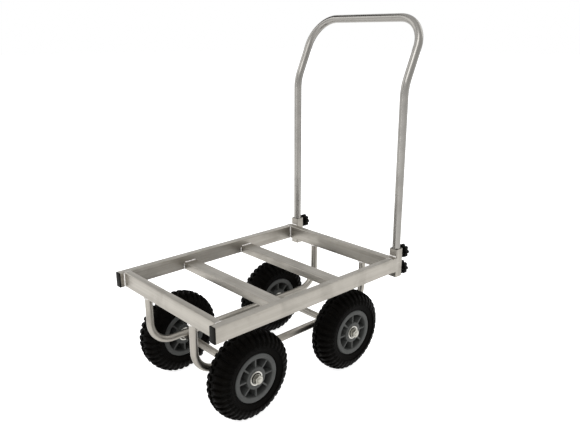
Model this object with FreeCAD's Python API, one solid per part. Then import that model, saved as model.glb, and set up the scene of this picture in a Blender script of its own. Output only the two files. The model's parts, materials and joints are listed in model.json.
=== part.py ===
# Four-wheeled beach cart with a welded bar deck and a removable U-shaped push handle.
# Millimetres. X runs across the cart, the nose faces -Y, the handle stands at +Y, and Z is up.
# The origin is on the ground, below the centre of the box that holds the whole cart.
# Every function returns the solids of one node; main() places them and writes one STEP per node.
import FreeCAD, Part
import math
import os

# Deck: one rectangular bar makes the rails, the beams and the slats.
DECK_WIDTH = 500.0          # over the outer faces of the side rails
DECK_LENGTH = 714.0         # from the end-cap faces to the back of the rear beam
TYRE_TO_DECK = 44.5         # top of a tyre to the underside of the deck
BAR_TALL = 46.0             # long side of the bar
BAR_THIN = 23.0             # short side of the bar
BAR_WALL = 2.0
BAR_CORNER = 3.0            # outer corner radius of the bar
BEAM_SETBACK = 16.0         # front beam behind the end-cap faces
SLAT_COUNT = 2
END_PLATE = 2.0             # plates that close the rear beam
CAP_FLANGE = 3.0            # visible head of a rail's end cap
CAP_PLUG = 14.0             # depth of the end cap's plug inside the rail
CAP_FIT = 0.2               # plug to the bar's inner wall
VENT_RADIUS = 2.5           # drain and vent holes beside the welds
SLAT_VENT_INSET = 7.0       # from a slat's left end to its vent
LEG_VENT_DROP = 9.0         # from the top of a leg to its vent

# Runners: two bent tubes that hang under the beams and carry the axle tubes.
RUNNER_DIAMETER = 22.0
RUNNER_WALL = 2.0
RUNNER_INSET = 137.0        # centre of a runner inside the rail's outer face
RUNNER_BEND = 72.0          # bend radius on the tube's centre line

# Axles.
AXLE_TUBE_DIAMETER = 22.0
AXLE_SEAT = 1.0             # depth of the saddle that a runner sits in
AXLE_DIAMETER = 16.0
AXLE_FIT = 0.1              # axle rod to the bore of its tube
AXLE_INSET = 159.5          # each axle from its end of the deck
THREAD_END = 3.0            # axle rod beyond its nut
NUT_FLATS = 24.0
NUT_HEIGHT = 10.0
NUT_BEVEL = 0.5             # corner chamfer, taken off half the flats at the nut's face
WASHER_DIAMETER = 30.0
WASHER_THICKNESS = 2.5
COLLAR_DIAMETER = 26.0      # spacer between an axle tube and a wheel
COLLAR_LENGTH = 6.0

# Wheels.
TYRE_TO_RUNNER = 10.0
TYRE_RADIUS = 130.0         # over the tread blocks
TYRE_WIDTH = 84.0           # over the shoulder blocks
TREAD_DEPTH = 5.0
SHOULDER_DEPTH = 3.0        # block height at the shoulder
TREAD_BLOCKS = 38           # blocks in each of the two rows
BLOCK_FILL = 0.58           # share of the pitch that a block takes
BLOCK_REACH = 0.97          # outer end of a block, as a share of the half width
TREAD_GAP = 5.0             # half of the space between the two rows
BLOCK_ROOT = 3.0            # how far a block reaches into the casing
WIDEST_RADIUS = 95.0        # radius at which the tyre is widest
CASING_WALL = 4.5           # sidewalls and crown, without the blocks
BEAD_WIDTH = 9.0
BEAD_HEIGHT = 7.0
TUBE_WALL = 2.0             # rubber of the inner tube
VALVE_RADIUS = 4.0
VALVE_BORE = 1.5
VALVE_LENGTH = 20.0         # inwards from the rim's seat
VALVE_OFFSET = 15.0         # from the wheel's middle plane, towards the cart's middle
VALVE_FIT = 0.3             # valve to its hole in the rim
RIM_RADIUS = 72.0           # outer edge of the rim's flanges
RIM_SEAT_RADIUS = 62.0      # where the tyre's beads sit
RIM_WALL = 5.0
RIM_WIDTH = 71.0            # over the two flanges
RIM_FLANGE = 4.0
WEB_THICKNESS = 5.0
HUB_RADIUS = 32.0
SPOKE_COUNT = 8
SPOKE_THICKNESS = 4.5
SPOKE_SETBACK = 3.0         # spoke edges behind the rim's face
SPOKE_ROOT = 1.5            # how far a spoke runs into the hub and the rim
BEARING_RADIUS = 17.5
BEARING_WIDTH = 11.0
BEARING_FLANGE_RADIUS = 21.0
BEARING_FLANGE = 1.5
RACE_RADIUS = 11.5          # outside of the inner race
RACE_GAP = 0.3              # turning parts to standing parts
SIDE_GAP = 0.5              # wheel to the collar and to the washer

# Handle, its sockets and clamp knobs.
SOCKET_WALL = 2.0
SOCKET_CORNER = 2.5
SOCKET_INSET = 20.0         # centre of a socket inside the rail's outer face
SOCKET_RISE = 24.5          # top of a socket above the deck
SOCKET_DROP = 22.5          # bottom of a socket below the bars
HANDLE_DIAMETER = 25.4
HANDLE_WALL = 1.6
HANDLE_FIT = 0.3            # handle tube to the socket's inner walls
HANDLE_LIFT = 6.0           # lower end of the tube above the socket's end
KINK_RISE = 528.5           # deck to the height at which the uprights lean back
GRIP_RISE = 730.0           # deck to the centre line of the grip bar
HANDLE_LEAN = 91.0          # grip bar behind the uprights
KINK_BEND = 135.0           # bend radii on the centre line
CORNER_BEND = 96.0
KNOB_UPPER_DROP = 17.0      # socket's top to the upper screw
KNOB_CLEARANCE = 10.0       # between the two knobs of a socket
KNOB_LOBES = 8
KNOB_RADIUS = 23.0          # over the lobes
LOBE_RADIUS = 6.0
KNOB_BEVEL = 2.5            # chamfer round the knob's outer face
KNOB_THICKNESS = 18.0
KNOB_SKIRT_RADIUS = 11.0
KNOB_SKIRT = 3.0            # collar below the knob's head
KNOB_GAP = 1.0              # skirt to boss
BOSS_RADIUS = 8.0
BOSS_LENGTH = 7.0
SCREW_RADIUS = 4.0
SCREW_FIT = 0.1             # screw to its threaded hole
SCREW_TIP_GAP = 0.3         # screw to handle tube when slack
SCREW_GRIP = 12.0           # length of the screw inside the knob

# Worked out from the sizes above. Lengths along the cart start at the end-cap faces here.
HANDLE_RADIUS = HANDLE_DIAMETER / 2
BAR_BOTTOM = 2 * TYRE_RADIUS + TYRE_TO_DECK
DECK_TOP = BAR_BOTTOM + BAR_TALL
REAR_BEAM_Y = DECK_LENGTH - BAR_THIN
INNER_HALF_WIDTH = DECK_WIDTH / 2 - BAR_THIN
SOCKET_SIDE = HANDLE_DIAMETER + 2 * (HANDLE_FIT + SOCKET_WALL)
SOCKET_X = DECK_WIDTH / 2 - SOCKET_INSET
SOCKET_Y = DECK_LENGTH + SOCKET_SIDE / 2
SOCKET_TOP = DECK_TOP + SOCKET_RISE
SOCKET_BOTTOM = BAR_BOTTOM - SOCKET_DROP
CART_LENGTH = SOCKET_Y + HANDLE_LEAN + HANDLE_RADIUS
KNOB_SPACING = 2 * KNOB_RADIUS + KNOB_CLEARANCE
AXLE_Z = TYRE_RADIUS
RUNNER_X = DECK_WIDTH / 2 - RUNNER_INSET
RUNNER_Z = AXLE_Z + (AXLE_TUBE_DIAMETER + RUNNER_DIAMETER) / 2 - AXLE_SEAT
WHEEL_X = RUNNER_X + RUNNER_DIAMETER / 2 + TYRE_TO_RUNNER + TYRE_WIDTH / 2
HUB_HALF = RIM_WIDTH / 2 - BEARING_FLANGE
RACE_HALF = RIM_WIDTH / 2 + SIDE_GAP
COLLAR_X = WHEEL_X - RACE_HALF - COLLAR_LENGTH
CASING_RADIUS = TYRE_RADIUS - TREAD_DEPTH

X_AXIS = FreeCAD.Vector(1, 0, 0)
Y_AXIS = FreeCAD.Vector(0, 1, 0)
Z_AXIS = FreeCAD.Vector(0, 0, 1)
SIDES = {"left": -1, "right": 1}
AXLES = {"front": AXLE_INSET, "rear": DECK_LENGTH - AXLE_INSET}


def place(x, y, z):
    """A point given by its distance behind the end-cap faces, in the cart's own frame."""
    return FreeCAD.Vector(x, y - CART_LENGTH / 2, z)


def polygon_face(points):
    """A flat face inside straight edges."""
    return Part.Face(Part.makePolygon(points + points[:1]))


def rounded_rectangle(centre, across, along, width, height, radius):
    """A face of width by height round centre, its corners turned with radius."""
    u, v = across.normalize(), along.normalize()
    half_u, half_v = width / 2, height / 2
    corners = [(1, 1), (-1, 1), (-1, -1), (1, -1)]
    edges, previous = [], None
    for index, (su, sv) in enumerate(corners):
        middle = centre + u * (su * (half_u - radius)) + v * (sv * (half_v - radius))
        start, end = (u * su, v * sv) if index % 2 == 0 else (v * sv, u * su)
        bisector = (u * su + v * sv) * math.sqrt(0.5)
        arc = Part.Arc(middle + start * radius, middle + bisector * radius, middle + end * radius)
        if previous is not None:
            edges.append(Part.makeLine(previous, middle + start * radius))
        edges.append(arc.toShape())
        previous = middle + end * radius
    edges.append(Part.makeLine(previous, edges[0].Vertexes[0].Point))
    return Part.Face(Part.Wire(edges))


def box_tube(start, direction, length, across, width, height, wall, corner):
    """A straight rectangular tube that begins at start and runs along direction."""
    along = direction.cross(across)
    path = FreeCAD.Vector(direction) * length
    outer = rounded_rectangle(start, FreeCAD.Vector(across), FreeCAD.Vector(along), width, height, corner)
    bore = rounded_rectangle(start, FreeCAD.Vector(across), FreeCAD.Vector(along),
                             width - 2 * wall, height - 2 * wall, max(corner - wall, 0.3))
    return outer.extrude(path).cut(bore.extrude(path))


def round_tube(start, direction, length, radius, bore_radius):
    """A straight round tube."""
    outer = Part.makeCylinder(radius, length, start, direction)
    return outer.cut(Part.makeCylinder(bore_radius, length, start, direction))


def bent_path(points, radii):
    """A wire through points whose corners are arcs of the given radii."""
    edges, current = [], points[0]
    for before, corner, after, radius in zip(points, points[1:], points[2:], radii):
        back = (before - corner).normalize()
        ahead = (after - corner).normalize()
        half_turn = (math.pi - back.getAngle(ahead)) / 2
        tangent = radius * math.tan(half_turn)
        crown = corner + (back + ahead).normalize() * (radius / math.cos(half_turn) - radius)
        edges.append(Part.makeLine(current, corner + back * tangent))
        edges.append(Part.Arc(corner + back * tangent, crown, corner + ahead * tangent).toShape())
        current = corner + ahead * tangent
    edges.append(Part.makeLine(current, points[-1]))
    return Part.Wire(edges)


def bent_tube(points, radii, diameter, wall):
    """A round tube bent along points."""
    path = bent_path(points, radii)
    direction = (points[1] - points[0]).normalize()
    rings = [Part.Wire(Part.makeCircle(size, points[0], direction))
             for size in (diameter / 2, diameter / 2 - wall)]
    outer, bore = [path.makePipeShell([ring], True, False) for ring in rings]
    return outer.cut(bore)


def turned(points, centre):
    """A solid of revolution about X through centre, from (x, radius) points."""
    outline = [centre + X_AXIS * x + Z_AXIS * radius for x, radius in points]
    return polygon_face(outline).revolve(centre, X_AXIS, 360)


# ---- deck ----

def side_rail(side):
    """A side rail, from its end cap back to the rear beam."""
    x = side * (DECK_WIDTH - BAR_THIN) / 2
    start = place(x, CAP_FLANGE, DECK_TOP - BAR_TALL / 2)
    return box_tube(start, Y_AXIS, REAR_BEAM_Y - CAP_FLANGE, X_AXIS, BAR_THIN, BAR_TALL, BAR_WALL, BAR_CORNER)


def end_cap(side):
    """A rail's end cap: a head as large as the bar and a plug inside it."""
    x = side * (DECK_WIDTH - BAR_THIN) / 2
    face = place(x, 0, DECK_TOP - BAR_TALL / 2)
    outline = rounded_rectangle(face, X_AXIS, Z_AXIS, BAR_THIN, BAR_TALL, BAR_CORNER)
    head = outline.extrude(Y_AXIS * CAP_FLANGE)
    shrink = 2 * (BAR_WALL + CAP_FIT)
    seat = face + Y_AXIS * CAP_FLANGE
    plug = rounded_rectangle(seat, X_AXIS, Z_AXIS, BAR_THIN - shrink, BAR_TALL - shrink,
                             max(BAR_CORNER - BAR_WALL, 0.5)).extrude(Y_AXIS * CAP_PLUG)
    return head.fuse(plug)


def crossbeam(front_y, half_length):
    """A beam across the cart, standing on its short side."""
    start = place(-half_length, front_y + BAR_THIN / 2, DECK_TOP - BAR_TALL / 2)
    return box_tube(start, X_AXIS, 2 * half_length, Y_AXIS, BAR_THIN, BAR_TALL, BAR_WALL, BAR_CORNER)


def beam_end_plate(side):
    """A plate that closes one end of the rear beam."""
    start = place(side * (DECK_WIDTH / 2 - END_PLATE), REAR_BEAM_Y + BAR_THIN / 2, DECK_TOP - BAR_TALL / 2)
    face = rounded_rectangle(start, Y_AXIS, Z_AXIS, BAR_THIN, BAR_TALL, BAR_CORNER)
    return face.extrude(X_AXIS * (side * END_PLATE))


def slat_front_y(index):
    """Front edge of a slat, the slats and the beams being evenly spaced."""
    first = BEAM_SETBACK + BAR_THIN
    gap = (REAR_BEAM_Y - first - SLAT_COUNT * BAR_TALL) / (SLAT_COUNT + 1)
    return first + gap + index * (BAR_TALL + gap)


def deck_slat(index):
    """A slat lying flat between the rails, level with their lower faces."""
    front = slat_front_y(index)
    start = place(-INNER_HALF_WIDTH, front + BAR_TALL / 2, BAR_BOTTOM + BAR_THIN / 2)
    slat = box_tube(start, X_AXIS, 2 * INNER_HALF_WIDTH, Y_AXIS, BAR_TALL, BAR_THIN, BAR_WALL, BAR_CORNER)
    vent_at = place(-INNER_HALF_WIDTH + SLAT_VENT_INSET, front - BAR_WALL, BAR_BOTTOM + BAR_THIN / 2)
    return slat.cut(Part.makeCylinder(VENT_RADIUS, 3 * BAR_WALL, vent_at, Y_AXIS))


# ---- underframe ----

def runner(side):
    """A bent tube from the front beam down, back under the deck and up to the rear beam."""
    x = side * RUNNER_X
    front = BEAM_SETBACK + BAR_THIN / 2
    rear = REAR_BEAM_Y + BAR_THIN / 2
    corners = [(front, BAR_BOTTOM), (front, RUNNER_Z), (rear, RUNNER_Z), (rear, BAR_BOTTOM)]
    tube = bent_tube([place(x, y, z) for y, z in corners], [RUNNER_BEND] * 2, RUNNER_DIAMETER, RUNNER_WALL)
    for y in (front, rear):
        vent_at = place(x - RUNNER_DIAMETER / 2 - 1, y, BAR_BOTTOM - LEG_VENT_DROP)
        tube = tube.cut(Part.makeCylinder(VENT_RADIUS, RUNNER_DIAMETER / 2, vent_at, X_AXIS))
    return tube


def axle_tube(axle_y):
    """The cross tube of an axle, with a saddle for each runner."""
    half = COLLAR_X
    tube = round_tube(place(-half, axle_y, AXLE_Z), X_AXIS, 2 * half,
                      AXLE_TUBE_DIAMETER / 2, AXLE_DIAMETER / 2 + AXLE_FIT)
    for side in SIDES.values():
        start = place(side * RUNNER_X, axle_y - AXLE_TUBE_DIAMETER, RUNNER_Z)
        tube = tube.cut(Part.makeCylinder(RUNNER_DIAMETER / 2, 2 * AXLE_TUBE_DIAMETER, start, Y_AXIS))
    return tube


def axle_rod(axle_y):
    """A steel axle through its tube, both wheels and both nuts."""
    half = WHEEL_X + RACE_HALF + WASHER_THICKNESS + NUT_HEIGHT + THREAD_END
    return Part.makeCylinder(AXLE_DIAMETER / 2, 2 * half, place(-half, axle_y, AXLE_Z), X_AXIS)


def at_wheels(make):
    """One solid at every wheel; make takes the wheel's centre and the outward direction."""
    return Part.makeCompound([make(place(side * WHEEL_X, y, AXLE_Z), X_AXIS * side)
                              for y in AXLES.values() for side in SIDES.values()])


def axle_collar(centre, outward):
    """The spacer between an axle tube and the wheel's inner bearing."""
    return round_tube(centre - outward * RACE_HALF, -outward, COLLAR_LENGTH,
                      COLLAR_DIAMETER / 2, AXLE_DIAMETER / 2)


def axle_washer(centre, outward):
    """The washer under an axle nut."""
    return round_tube(centre + outward * RACE_HALF, outward, WASHER_THICKNESS,
                      WASHER_DIAMETER / 2, AXLE_DIAMETER / 2)


def axle_nut(centre, outward):
    """A hexagon nut with chamfered corners."""
    seat = centre + outward * (RACE_HALF + WASHER_THICKNESS)
    corner = NUT_FLATS / math.sqrt(3)
    points = [seat + Y_AXIS * (corner * math.cos(a)) + Z_AXIS * (corner * math.sin(a))
              for a in (math.radians(60 * k + 30) for k in range(6))]
    nut = polygon_face(points).extrude(outward * NUT_HEIGHT)
    face_radius = NUT_FLATS / 2 - NUT_BEVEL
    cone = Part.makeCone(face_radius + NUT_HEIGHT, face_radius, NUT_HEIGHT, seat, outward)
    return nut.common(cone).cut(Part.makeCylinder(AXLE_DIAMETER / 2, NUT_HEIGHT, seat, outward))


def inner_races(centre, outward):
    """The two inner races of a wheel's bearings, which stand still on the axle."""
    width = BEARING_WIDTH + BEARING_FLANGE + SIDE_GAP
    return Part.makeCompound([round_tube(centre + outward * (way * RACE_HALF), -outward * way, width,
                                         RACE_RADIUS, AXLE_DIAMETER / 2) for way in (-1, 1)])


# ---- wheels, built at a centre and symmetric about their middle plane ----

def crown_radius(x, half_width, top):
    """Radius of an elliptical crown at distance x from the middle plane."""
    return WIDEST_RADIUS + (top - WIDEST_RADIUS) * math.sqrt(1 - (x / half_width) ** 2)


def casing_half():
    """Half of the casing's outline: (distance from the middle plane, radius), bead to crown."""
    half = TYRE_WIDTH / 2 - SHOULDER_DEPTH
    seat = RIM_WIDTH / 2 - RIM_FLANGE
    side = [(seat, RIM_SEAT_RADIUS), (seat, RIM_RADIUS), (RIM_WIDTH / 2, RIM_RADIUS + 1),
            (half - 0.8, (RIM_RADIUS + WIDEST_RADIUS) / 2)]
    crown = [(half * share, crown_radius(half * share, half, CASING_RADIUS)) for share in (1, 0.9, 0.66, 0.3)]
    return side + crown


def tread_block(centre, way, angle):
    """A block from the middle of the tread to the shoulder, its top following the crown."""
    half = TYRE_WIDTH / 2
    start, end = TREAD_GAP, half * BLOCK_REACH
    steps = [start + (end - start) * share for share in (0, 0.4, 0.72, 0.9, 1)]
    outline = [(x, crown_radius(x, half, TYRE_RADIUS + 1)) for x in steps]
    casing = half - SHOULDER_DEPTH
    outline.append((casing - BLOCK_ROOT, WIDEST_RADIUS))
    outline.append((start, crown_radius(start, casing, CASING_RADIUS) - BLOCK_ROOT))
    width = 2 * math.pi * TYRE_RADIUS / TREAD_BLOCKS * BLOCK_FILL
    points = [centre + X_AXIS * (way * x) + Z_AXIS * r - Y_AXIS * (width / 2) for x, r in outline]
    block = polygon_face(points).extrude(Y_AXIS * width)
    block.rotate(centre, X_AXIS, angle)
    return block


def cavity_half(inset):
    """Half of the outline of the air space in the casing, drawn in by inset."""
    half = TYRE_WIDTH / 2 - SHOULDER_DEPTH - CASING_WALL - inset
    top = CASING_RADIUS - CASING_WALL - inset
    foot = RIM_WIDTH / 2 - RIM_FLANGE - BEAD_WIDTH - inset
    side = [(foot, RIM_SEAT_RADIUS + inset), (foot, RIM_SEAT_RADIUS + BEAD_HEIGHT),
            (half - 3, RIM_RADIUS + 2)]
    return side + [(half * share, crown_radius(half * share, half, top)) for share in (1, 0.9, 0.66, 0.3)]


def both_halves(half):
    """A half outline and its mirror image in the middle plane, as one closed outline."""
    return half + [(-x, r) for x, r in reversed(half)]


def tyre(centre):
    """A hollow tyre with two rows of shoulder blocks, half a pitch apart."""
    casing = turned(both_halves(casing_half()), centre)
    pitch = 360 / TREAD_BLOCKS
    blocks = [tread_block(centre, way, 180 + pitch * (k + (way + 1) / 4))
              for way in (-1, 1) for k in range(TREAD_BLOCKS)]
    envelope = Part.makeCylinder(TYRE_RADIUS, TYRE_WIDTH, centre - X_AXIS * (TYRE_WIDTH / 2), X_AXIS)
    return casing.multiFuse(blocks).common(envelope).cut(turned(both_halves(cavity_half(0)), centre))


def valve_shape(centre, inward, radius, outer_end):
    """A cylinder on the valve's line, which lies between two spokes and points at the hub."""
    start = centre + X_AXIS * (inward * VALVE_OFFSET) + Z_AXIS * (RIM_SEAT_RADIUS - VALVE_LENGTH)
    valve = Part.makeCylinder(radius, VALVE_LENGTH + outer_end, start, Z_AXIS)
    valve.rotate(centre, X_AXIS, 180 + 180 / SPOKE_COUNT)
    return valve


def inner_tube(centre, inward):
    """The inner tube that fills the casing, with its hollow valve on the cart's inner side."""
    skin = turned(both_halves(cavity_half(0)), centre)
    tube = skin.fuse(valve_shape(centre, inward, VALVE_RADIUS, TUBE_WALL / 2))
    air = turned(both_halves(cavity_half(TUBE_WALL)), centre)
    return tube.cut(air).cut(valve_shape(centre, inward, VALVE_BORE, 2 * TUBE_WALL))


def rim(centre, inward):
    """A moulded rim: flanges, bead seat, web, hub and spokes that stand on both sides of the web."""
    half_width, seat = RIM_WIDTH / 2, RIM_WIDTH / 2 - RIM_FLANGE
    web, bore = WEB_THICKNESS / 2, BEARING_RADIUS
    inner = RIM_SEAT_RADIUS - RIM_WALL
    floor = HUB_HALF - BEARING_WIDTH
    side = [(floor, AXLE_DIAMETER / 2 + 2), (floor, bore), (HUB_HALF, bore), (HUB_HALF, HUB_RADIUS),
            (web, HUB_RADIUS + 2), (web, inner - 2), (half_width - 2, inner), (half_width, inner + 2),
            (half_width, RIM_RADIUS - 1.5), (half_width - 1.5, RIM_RADIUS), (seat, RIM_RADIUS),
            (seat, RIM_SEAT_RADIUS)]
    body = turned(both_halves(side), centre)
    depth = half_width - SPOKE_SETBACK
    spokes = []
    for way in (-1, 1):
        for k in range(SPOKE_COUNT):
            foot = centre + X_AXIS * min(way * web, way * depth) - Y_AXIS * (SPOKE_THICKNESS / 2)
            foot = foot + Z_AXIS * (HUB_RADIUS - SPOKE_ROOT)
            spoke = Part.makeBox(depth - web, SPOKE_THICKNESS, inner - HUB_RADIUS + 2 * SPOKE_ROOT, foot)
            spoke.rotate(centre, X_AXIS, k * 360 / SPOKE_COUNT)
            spokes.append(spoke)
    hole = valve_shape(centre, inward, VALVE_RADIUS + VALVE_FIT, 1)
    return body.multiFuse(spokes).cut(hole)


def outer_races(centre):
    """The two flanged outer races of a wheel, pressed into its hub."""
    races = []
    for way in (-1, 1):
        inside, outside = way * (HUB_HALF - BEARING_WIDTH), way * (HUB_HALF + BEARING_FLANGE)
        bore = RACE_RADIUS + RACE_GAP
        races.append(turned([(inside, bore), (inside, BEARING_RADIUS), (way * HUB_HALF, BEARING_RADIUS),
                             (way * HUB_HALF, BEARING_FLANGE_RADIUS), (outside, BEARING_FLANGE_RADIUS),
                             (outside, bore)], centre))
    return Part.makeCompound(races)


# ---- handle and clamps ----

def screw_heights():
    """Heights of the lower and the upper clamp screw."""
    upper = SOCKET_TOP - KNOB_UPPER_DROP
    return {"lower": upper - KNOB_SPACING, "upper": upper}


def handle_socket(side):
    """A square socket welded behind the rear beam, drilled for its two clamp screws."""
    start = place(side * SOCKET_X, SOCKET_Y, SOCKET_BOTTOM)
    socket = box_tube(start, Z_AXIS, SOCKET_TOP - SOCKET_BOTTOM, X_AXIS, SOCKET_SIDE, SOCKET_SIDE,
                      SOCKET_WALL, SOCKET_CORNER)
    for z in screw_heights().values():
        hole_at = place(side * SOCKET_X, SOCKET_Y + SOCKET_SIDE / 2 - 2 * SOCKET_WALL, z)
        socket = socket.cut(Part.makeCylinder(SCREW_RADIUS + SCREW_FIT, 3 * SOCKET_WALL, hole_at, Y_AXIS))
    return socket


def clamp_bosses():
    """Threaded bosses on the back of the sockets."""
    return Part.makeCompound([round_tube(place(side * SOCKET_X, SOCKET_Y + SOCKET_SIDE / 2, z), Y_AXIS,
                                         BOSS_LENGTH, BOSS_RADIUS, SCREW_RADIUS + SCREW_FIT)
                              for side in SIDES.values() for z in screw_heights().values()])


def clamp_screw(side, z):
    """A headless clamp screw whose tip bears on the handle tube."""
    tip = SOCKET_Y + HANDLE_RADIUS + SCREW_TIP_GAP
    end = SOCKET_Y + SOCKET_SIDE / 2 + BOSS_LENGTH + KNOB_GAP + SCREW_GRIP
    return Part.makeCylinder(SCREW_RADIUS, end - tip, place(side * SOCKET_X, tip, z), Y_AXIS)


def clamp_knob(side, z):
    """A star knob: a skirt, a lobed head with rounded edges and a blind hole for its screw."""
    foot = place(side * SOCKET_X, SOCKET_Y + SOCKET_SIDE / 2 + BOSS_LENGTH + KNOB_GAP, z)
    seat = foot + Y_AXIS * KNOB_SKIRT
    head_depth = KNOB_THICKNESS - KNOB_SKIRT
    core = Part.makeCylinder(KNOB_RADIUS - LOBE_RADIUS, head_depth, seat, Y_AXIS)
    lobes = []
    for k in range(KNOB_LOBES):
        angle = 2 * math.pi * k / KNOB_LOBES
        reach = KNOB_RADIUS - LOBE_RADIUS
        lobe_at = seat + X_AXIS * (reach * math.cos(angle)) + Z_AXIS * (reach * math.sin(angle))
        lobes.append(Part.makeCylinder(LOBE_RADIUS, head_depth, lobe_at, Y_AXIS))
    face_radius = KNOB_RADIUS - KNOB_BEVEL
    bevel = Part.makeCone(face_radius + head_depth, face_radius, head_depth, seat, Y_AXIS)
    head = core.multiFuse(lobes).removeSplitter().common(bevel)
    knob = head.fuse(Part.makeCylinder(KNOB_SKIRT_RADIUS, KNOB_SKIRT, foot, Y_AXIS))
    return knob.cut(Part.makeCylinder(SCREW_RADIUS, SCREW_GRIP, foot, Y_AXIS))


def handle_tube():
    """The U-shaped handle: two uprights that lean back to a grip bar."""
    low = SOCKET_BOTTOM + HANDLE_LIFT
    leaning = SOCKET_Y + HANDLE_LEAN
    left = [(-SOCKET_X, SOCKET_Y, low), (-SOCKET_X, SOCKET_Y, DECK_TOP + KINK_RISE),
            (-SOCKET_X, leaning, DECK_TOP + GRIP_RISE)]
    right = [(-x, y, z) for x, y, z in reversed(left)]
    radii = [KINK_BEND, CORNER_BEND, CORNER_BEND, KINK_BEND]
    return bent_tube([place(*point) for point in left + right], radii, HANDLE_DIAMETER, HANDLE_WALL)


def wheel_nodes():
    """The nodes of the four wheels; the valves of both sides point to the cart's middle."""
    here = FreeCAD.Vector(0, 0, 0)
    shared = {"tyre": tyre(here), "bearing_races": outer_races(here)}
    nodes = {}
    for name, side in SIDES.items():
        masters = {"rim": rim(here, -side), "inner_tube": inner_tube(here, -side), **shared}
        for end, y in AXLES.items():
            for piece, solid in masters.items():
                nodes[f"{end}_{name}_{piece}"] = solid.translated(place(side * WHEEL_X, y, AXLE_Z))
    return nodes


def main():
    """Build every node and write it to parts/."""
    nodes = {"front_crossbeam": crossbeam(BEAM_SETBACK, INNER_HALF_WIDTH),
             "rear_crossbeam": crossbeam(REAR_BEAM_Y, DECK_WIDTH / 2 - END_PLATE),
             "axle_collars": at_wheels(axle_collar), "axle_washers": at_wheels(axle_washer),
             "axle_nuts": at_wheels(axle_nut), "bearing_inner_races": at_wheels(inner_races),
             "clamp_bosses": clamp_bosses(), "handle_tube": handle_tube()}
    for index, name in enumerate(("front", "rear")):
        nodes[f"deck_slat_{name}"] = deck_slat(index)
    for end, y in AXLES.items():
        nodes[f"{end}_axle_tube"] = axle_tube(y)
        nodes[f"{end}_axle_rod"] = axle_rod(y)
    for name, side in SIDES.items():
        nodes[f"side_rail_{name}"] = side_rail(side)
        nodes[f"rail_end_cap_{name}"] = end_cap(side)
        nodes[f"beam_end_plate_{name}"] = beam_end_plate(side)
        nodes[f"runner_{name}"] = runner(side)
        nodes[f"handle_socket_{name}"] = handle_socket(side)
        for level, z in screw_heights().items():
            nodes[f"clamp_screw_{level}_{name}"] = clamp_screw(side, z)
            nodes[f"clamp_knob_{level}_{name}"] = clamp_knob(side, z)
    nodes.update(wheel_nodes())
    os.makedirs("parts", exist_ok=True)
    for name, shape in nodes.items():
        shape.exportStep(f"parts/{name}.step")
        print(f"{name}: {len(shape.Solids)} solids, {shape.Volume / 1000:.1f} cm3, valid {shape.isValid()}")


main()
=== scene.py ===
"""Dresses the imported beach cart: welded aluminium deck, tube runners, knobbly wheels, clamped push handle.

Everything is in metres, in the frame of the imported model: X across, the nose towards -Y, Z up.
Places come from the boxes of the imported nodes, and each sub-assembly is a class that builds and dresses its pieces.
"""

import json
import logging
import math
import random
from dataclasses import dataclass, field
from enum import Enum

import bmesh
import bpy
from mathutils import Matrix, Vector

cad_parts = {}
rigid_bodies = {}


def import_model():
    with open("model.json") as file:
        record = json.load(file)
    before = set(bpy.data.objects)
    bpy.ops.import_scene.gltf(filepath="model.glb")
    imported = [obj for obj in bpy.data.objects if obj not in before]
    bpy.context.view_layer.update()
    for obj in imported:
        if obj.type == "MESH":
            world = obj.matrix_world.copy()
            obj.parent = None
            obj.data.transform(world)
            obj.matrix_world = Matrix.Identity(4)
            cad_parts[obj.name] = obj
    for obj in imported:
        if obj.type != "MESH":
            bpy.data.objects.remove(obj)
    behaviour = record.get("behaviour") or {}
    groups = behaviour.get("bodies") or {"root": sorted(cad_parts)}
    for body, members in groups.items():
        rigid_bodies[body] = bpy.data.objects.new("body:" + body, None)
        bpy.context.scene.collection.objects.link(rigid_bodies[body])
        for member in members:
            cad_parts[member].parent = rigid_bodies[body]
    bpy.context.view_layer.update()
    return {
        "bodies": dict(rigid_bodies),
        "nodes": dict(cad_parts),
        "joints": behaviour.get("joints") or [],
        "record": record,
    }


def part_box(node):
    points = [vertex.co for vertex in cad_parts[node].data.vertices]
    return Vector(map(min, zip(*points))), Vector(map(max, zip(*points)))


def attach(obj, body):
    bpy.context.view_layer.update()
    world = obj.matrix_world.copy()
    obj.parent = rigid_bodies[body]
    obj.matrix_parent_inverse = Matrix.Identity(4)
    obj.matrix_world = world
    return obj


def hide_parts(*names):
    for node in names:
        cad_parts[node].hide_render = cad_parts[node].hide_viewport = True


LOG = logging.getLogger("cart")
X_AXIS, Y_AXIS, Z_AXIS = Vector((1, 0, 0)), Vector((0, 1, 0)), Vector((0, 0, 1))
FULL_TURN = 2 * math.pi
MM = 0.001
Colour = tuple[float, float, float, float]
Outline = list[tuple[float, float]]


class Side(Enum):
    """Left and right, seen from behind the handle; the value is the sign of X."""

    LEFT = -1
    RIGHT = 1

    @property
    def word(self) -> str:
        """The side as node names spell it."""
        return self.name.lower()


class End(Enum):
    """The nose of the cart and its handle end."""

    FRONT = "front"
    REAR = "rear"


class Level(Enum):
    """The two clamps of a socket."""

    LOWER = "lower"
    UPPER = "upper"


class Grain(Enum):
    """How a drawn metal's lines run; the value stretches the noise that draws them."""

    ACROSS = (5.0, 420.0, 420.0)
    ALONG = (420.0, 5.0, 420.0)
    UP = (420.0, 420.0, 5.0)
    TUBE = (420.0, 420.0, 4.0)
    EVEN = (160.0, 160.0, 160.0)


# ---- node trees ----


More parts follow.
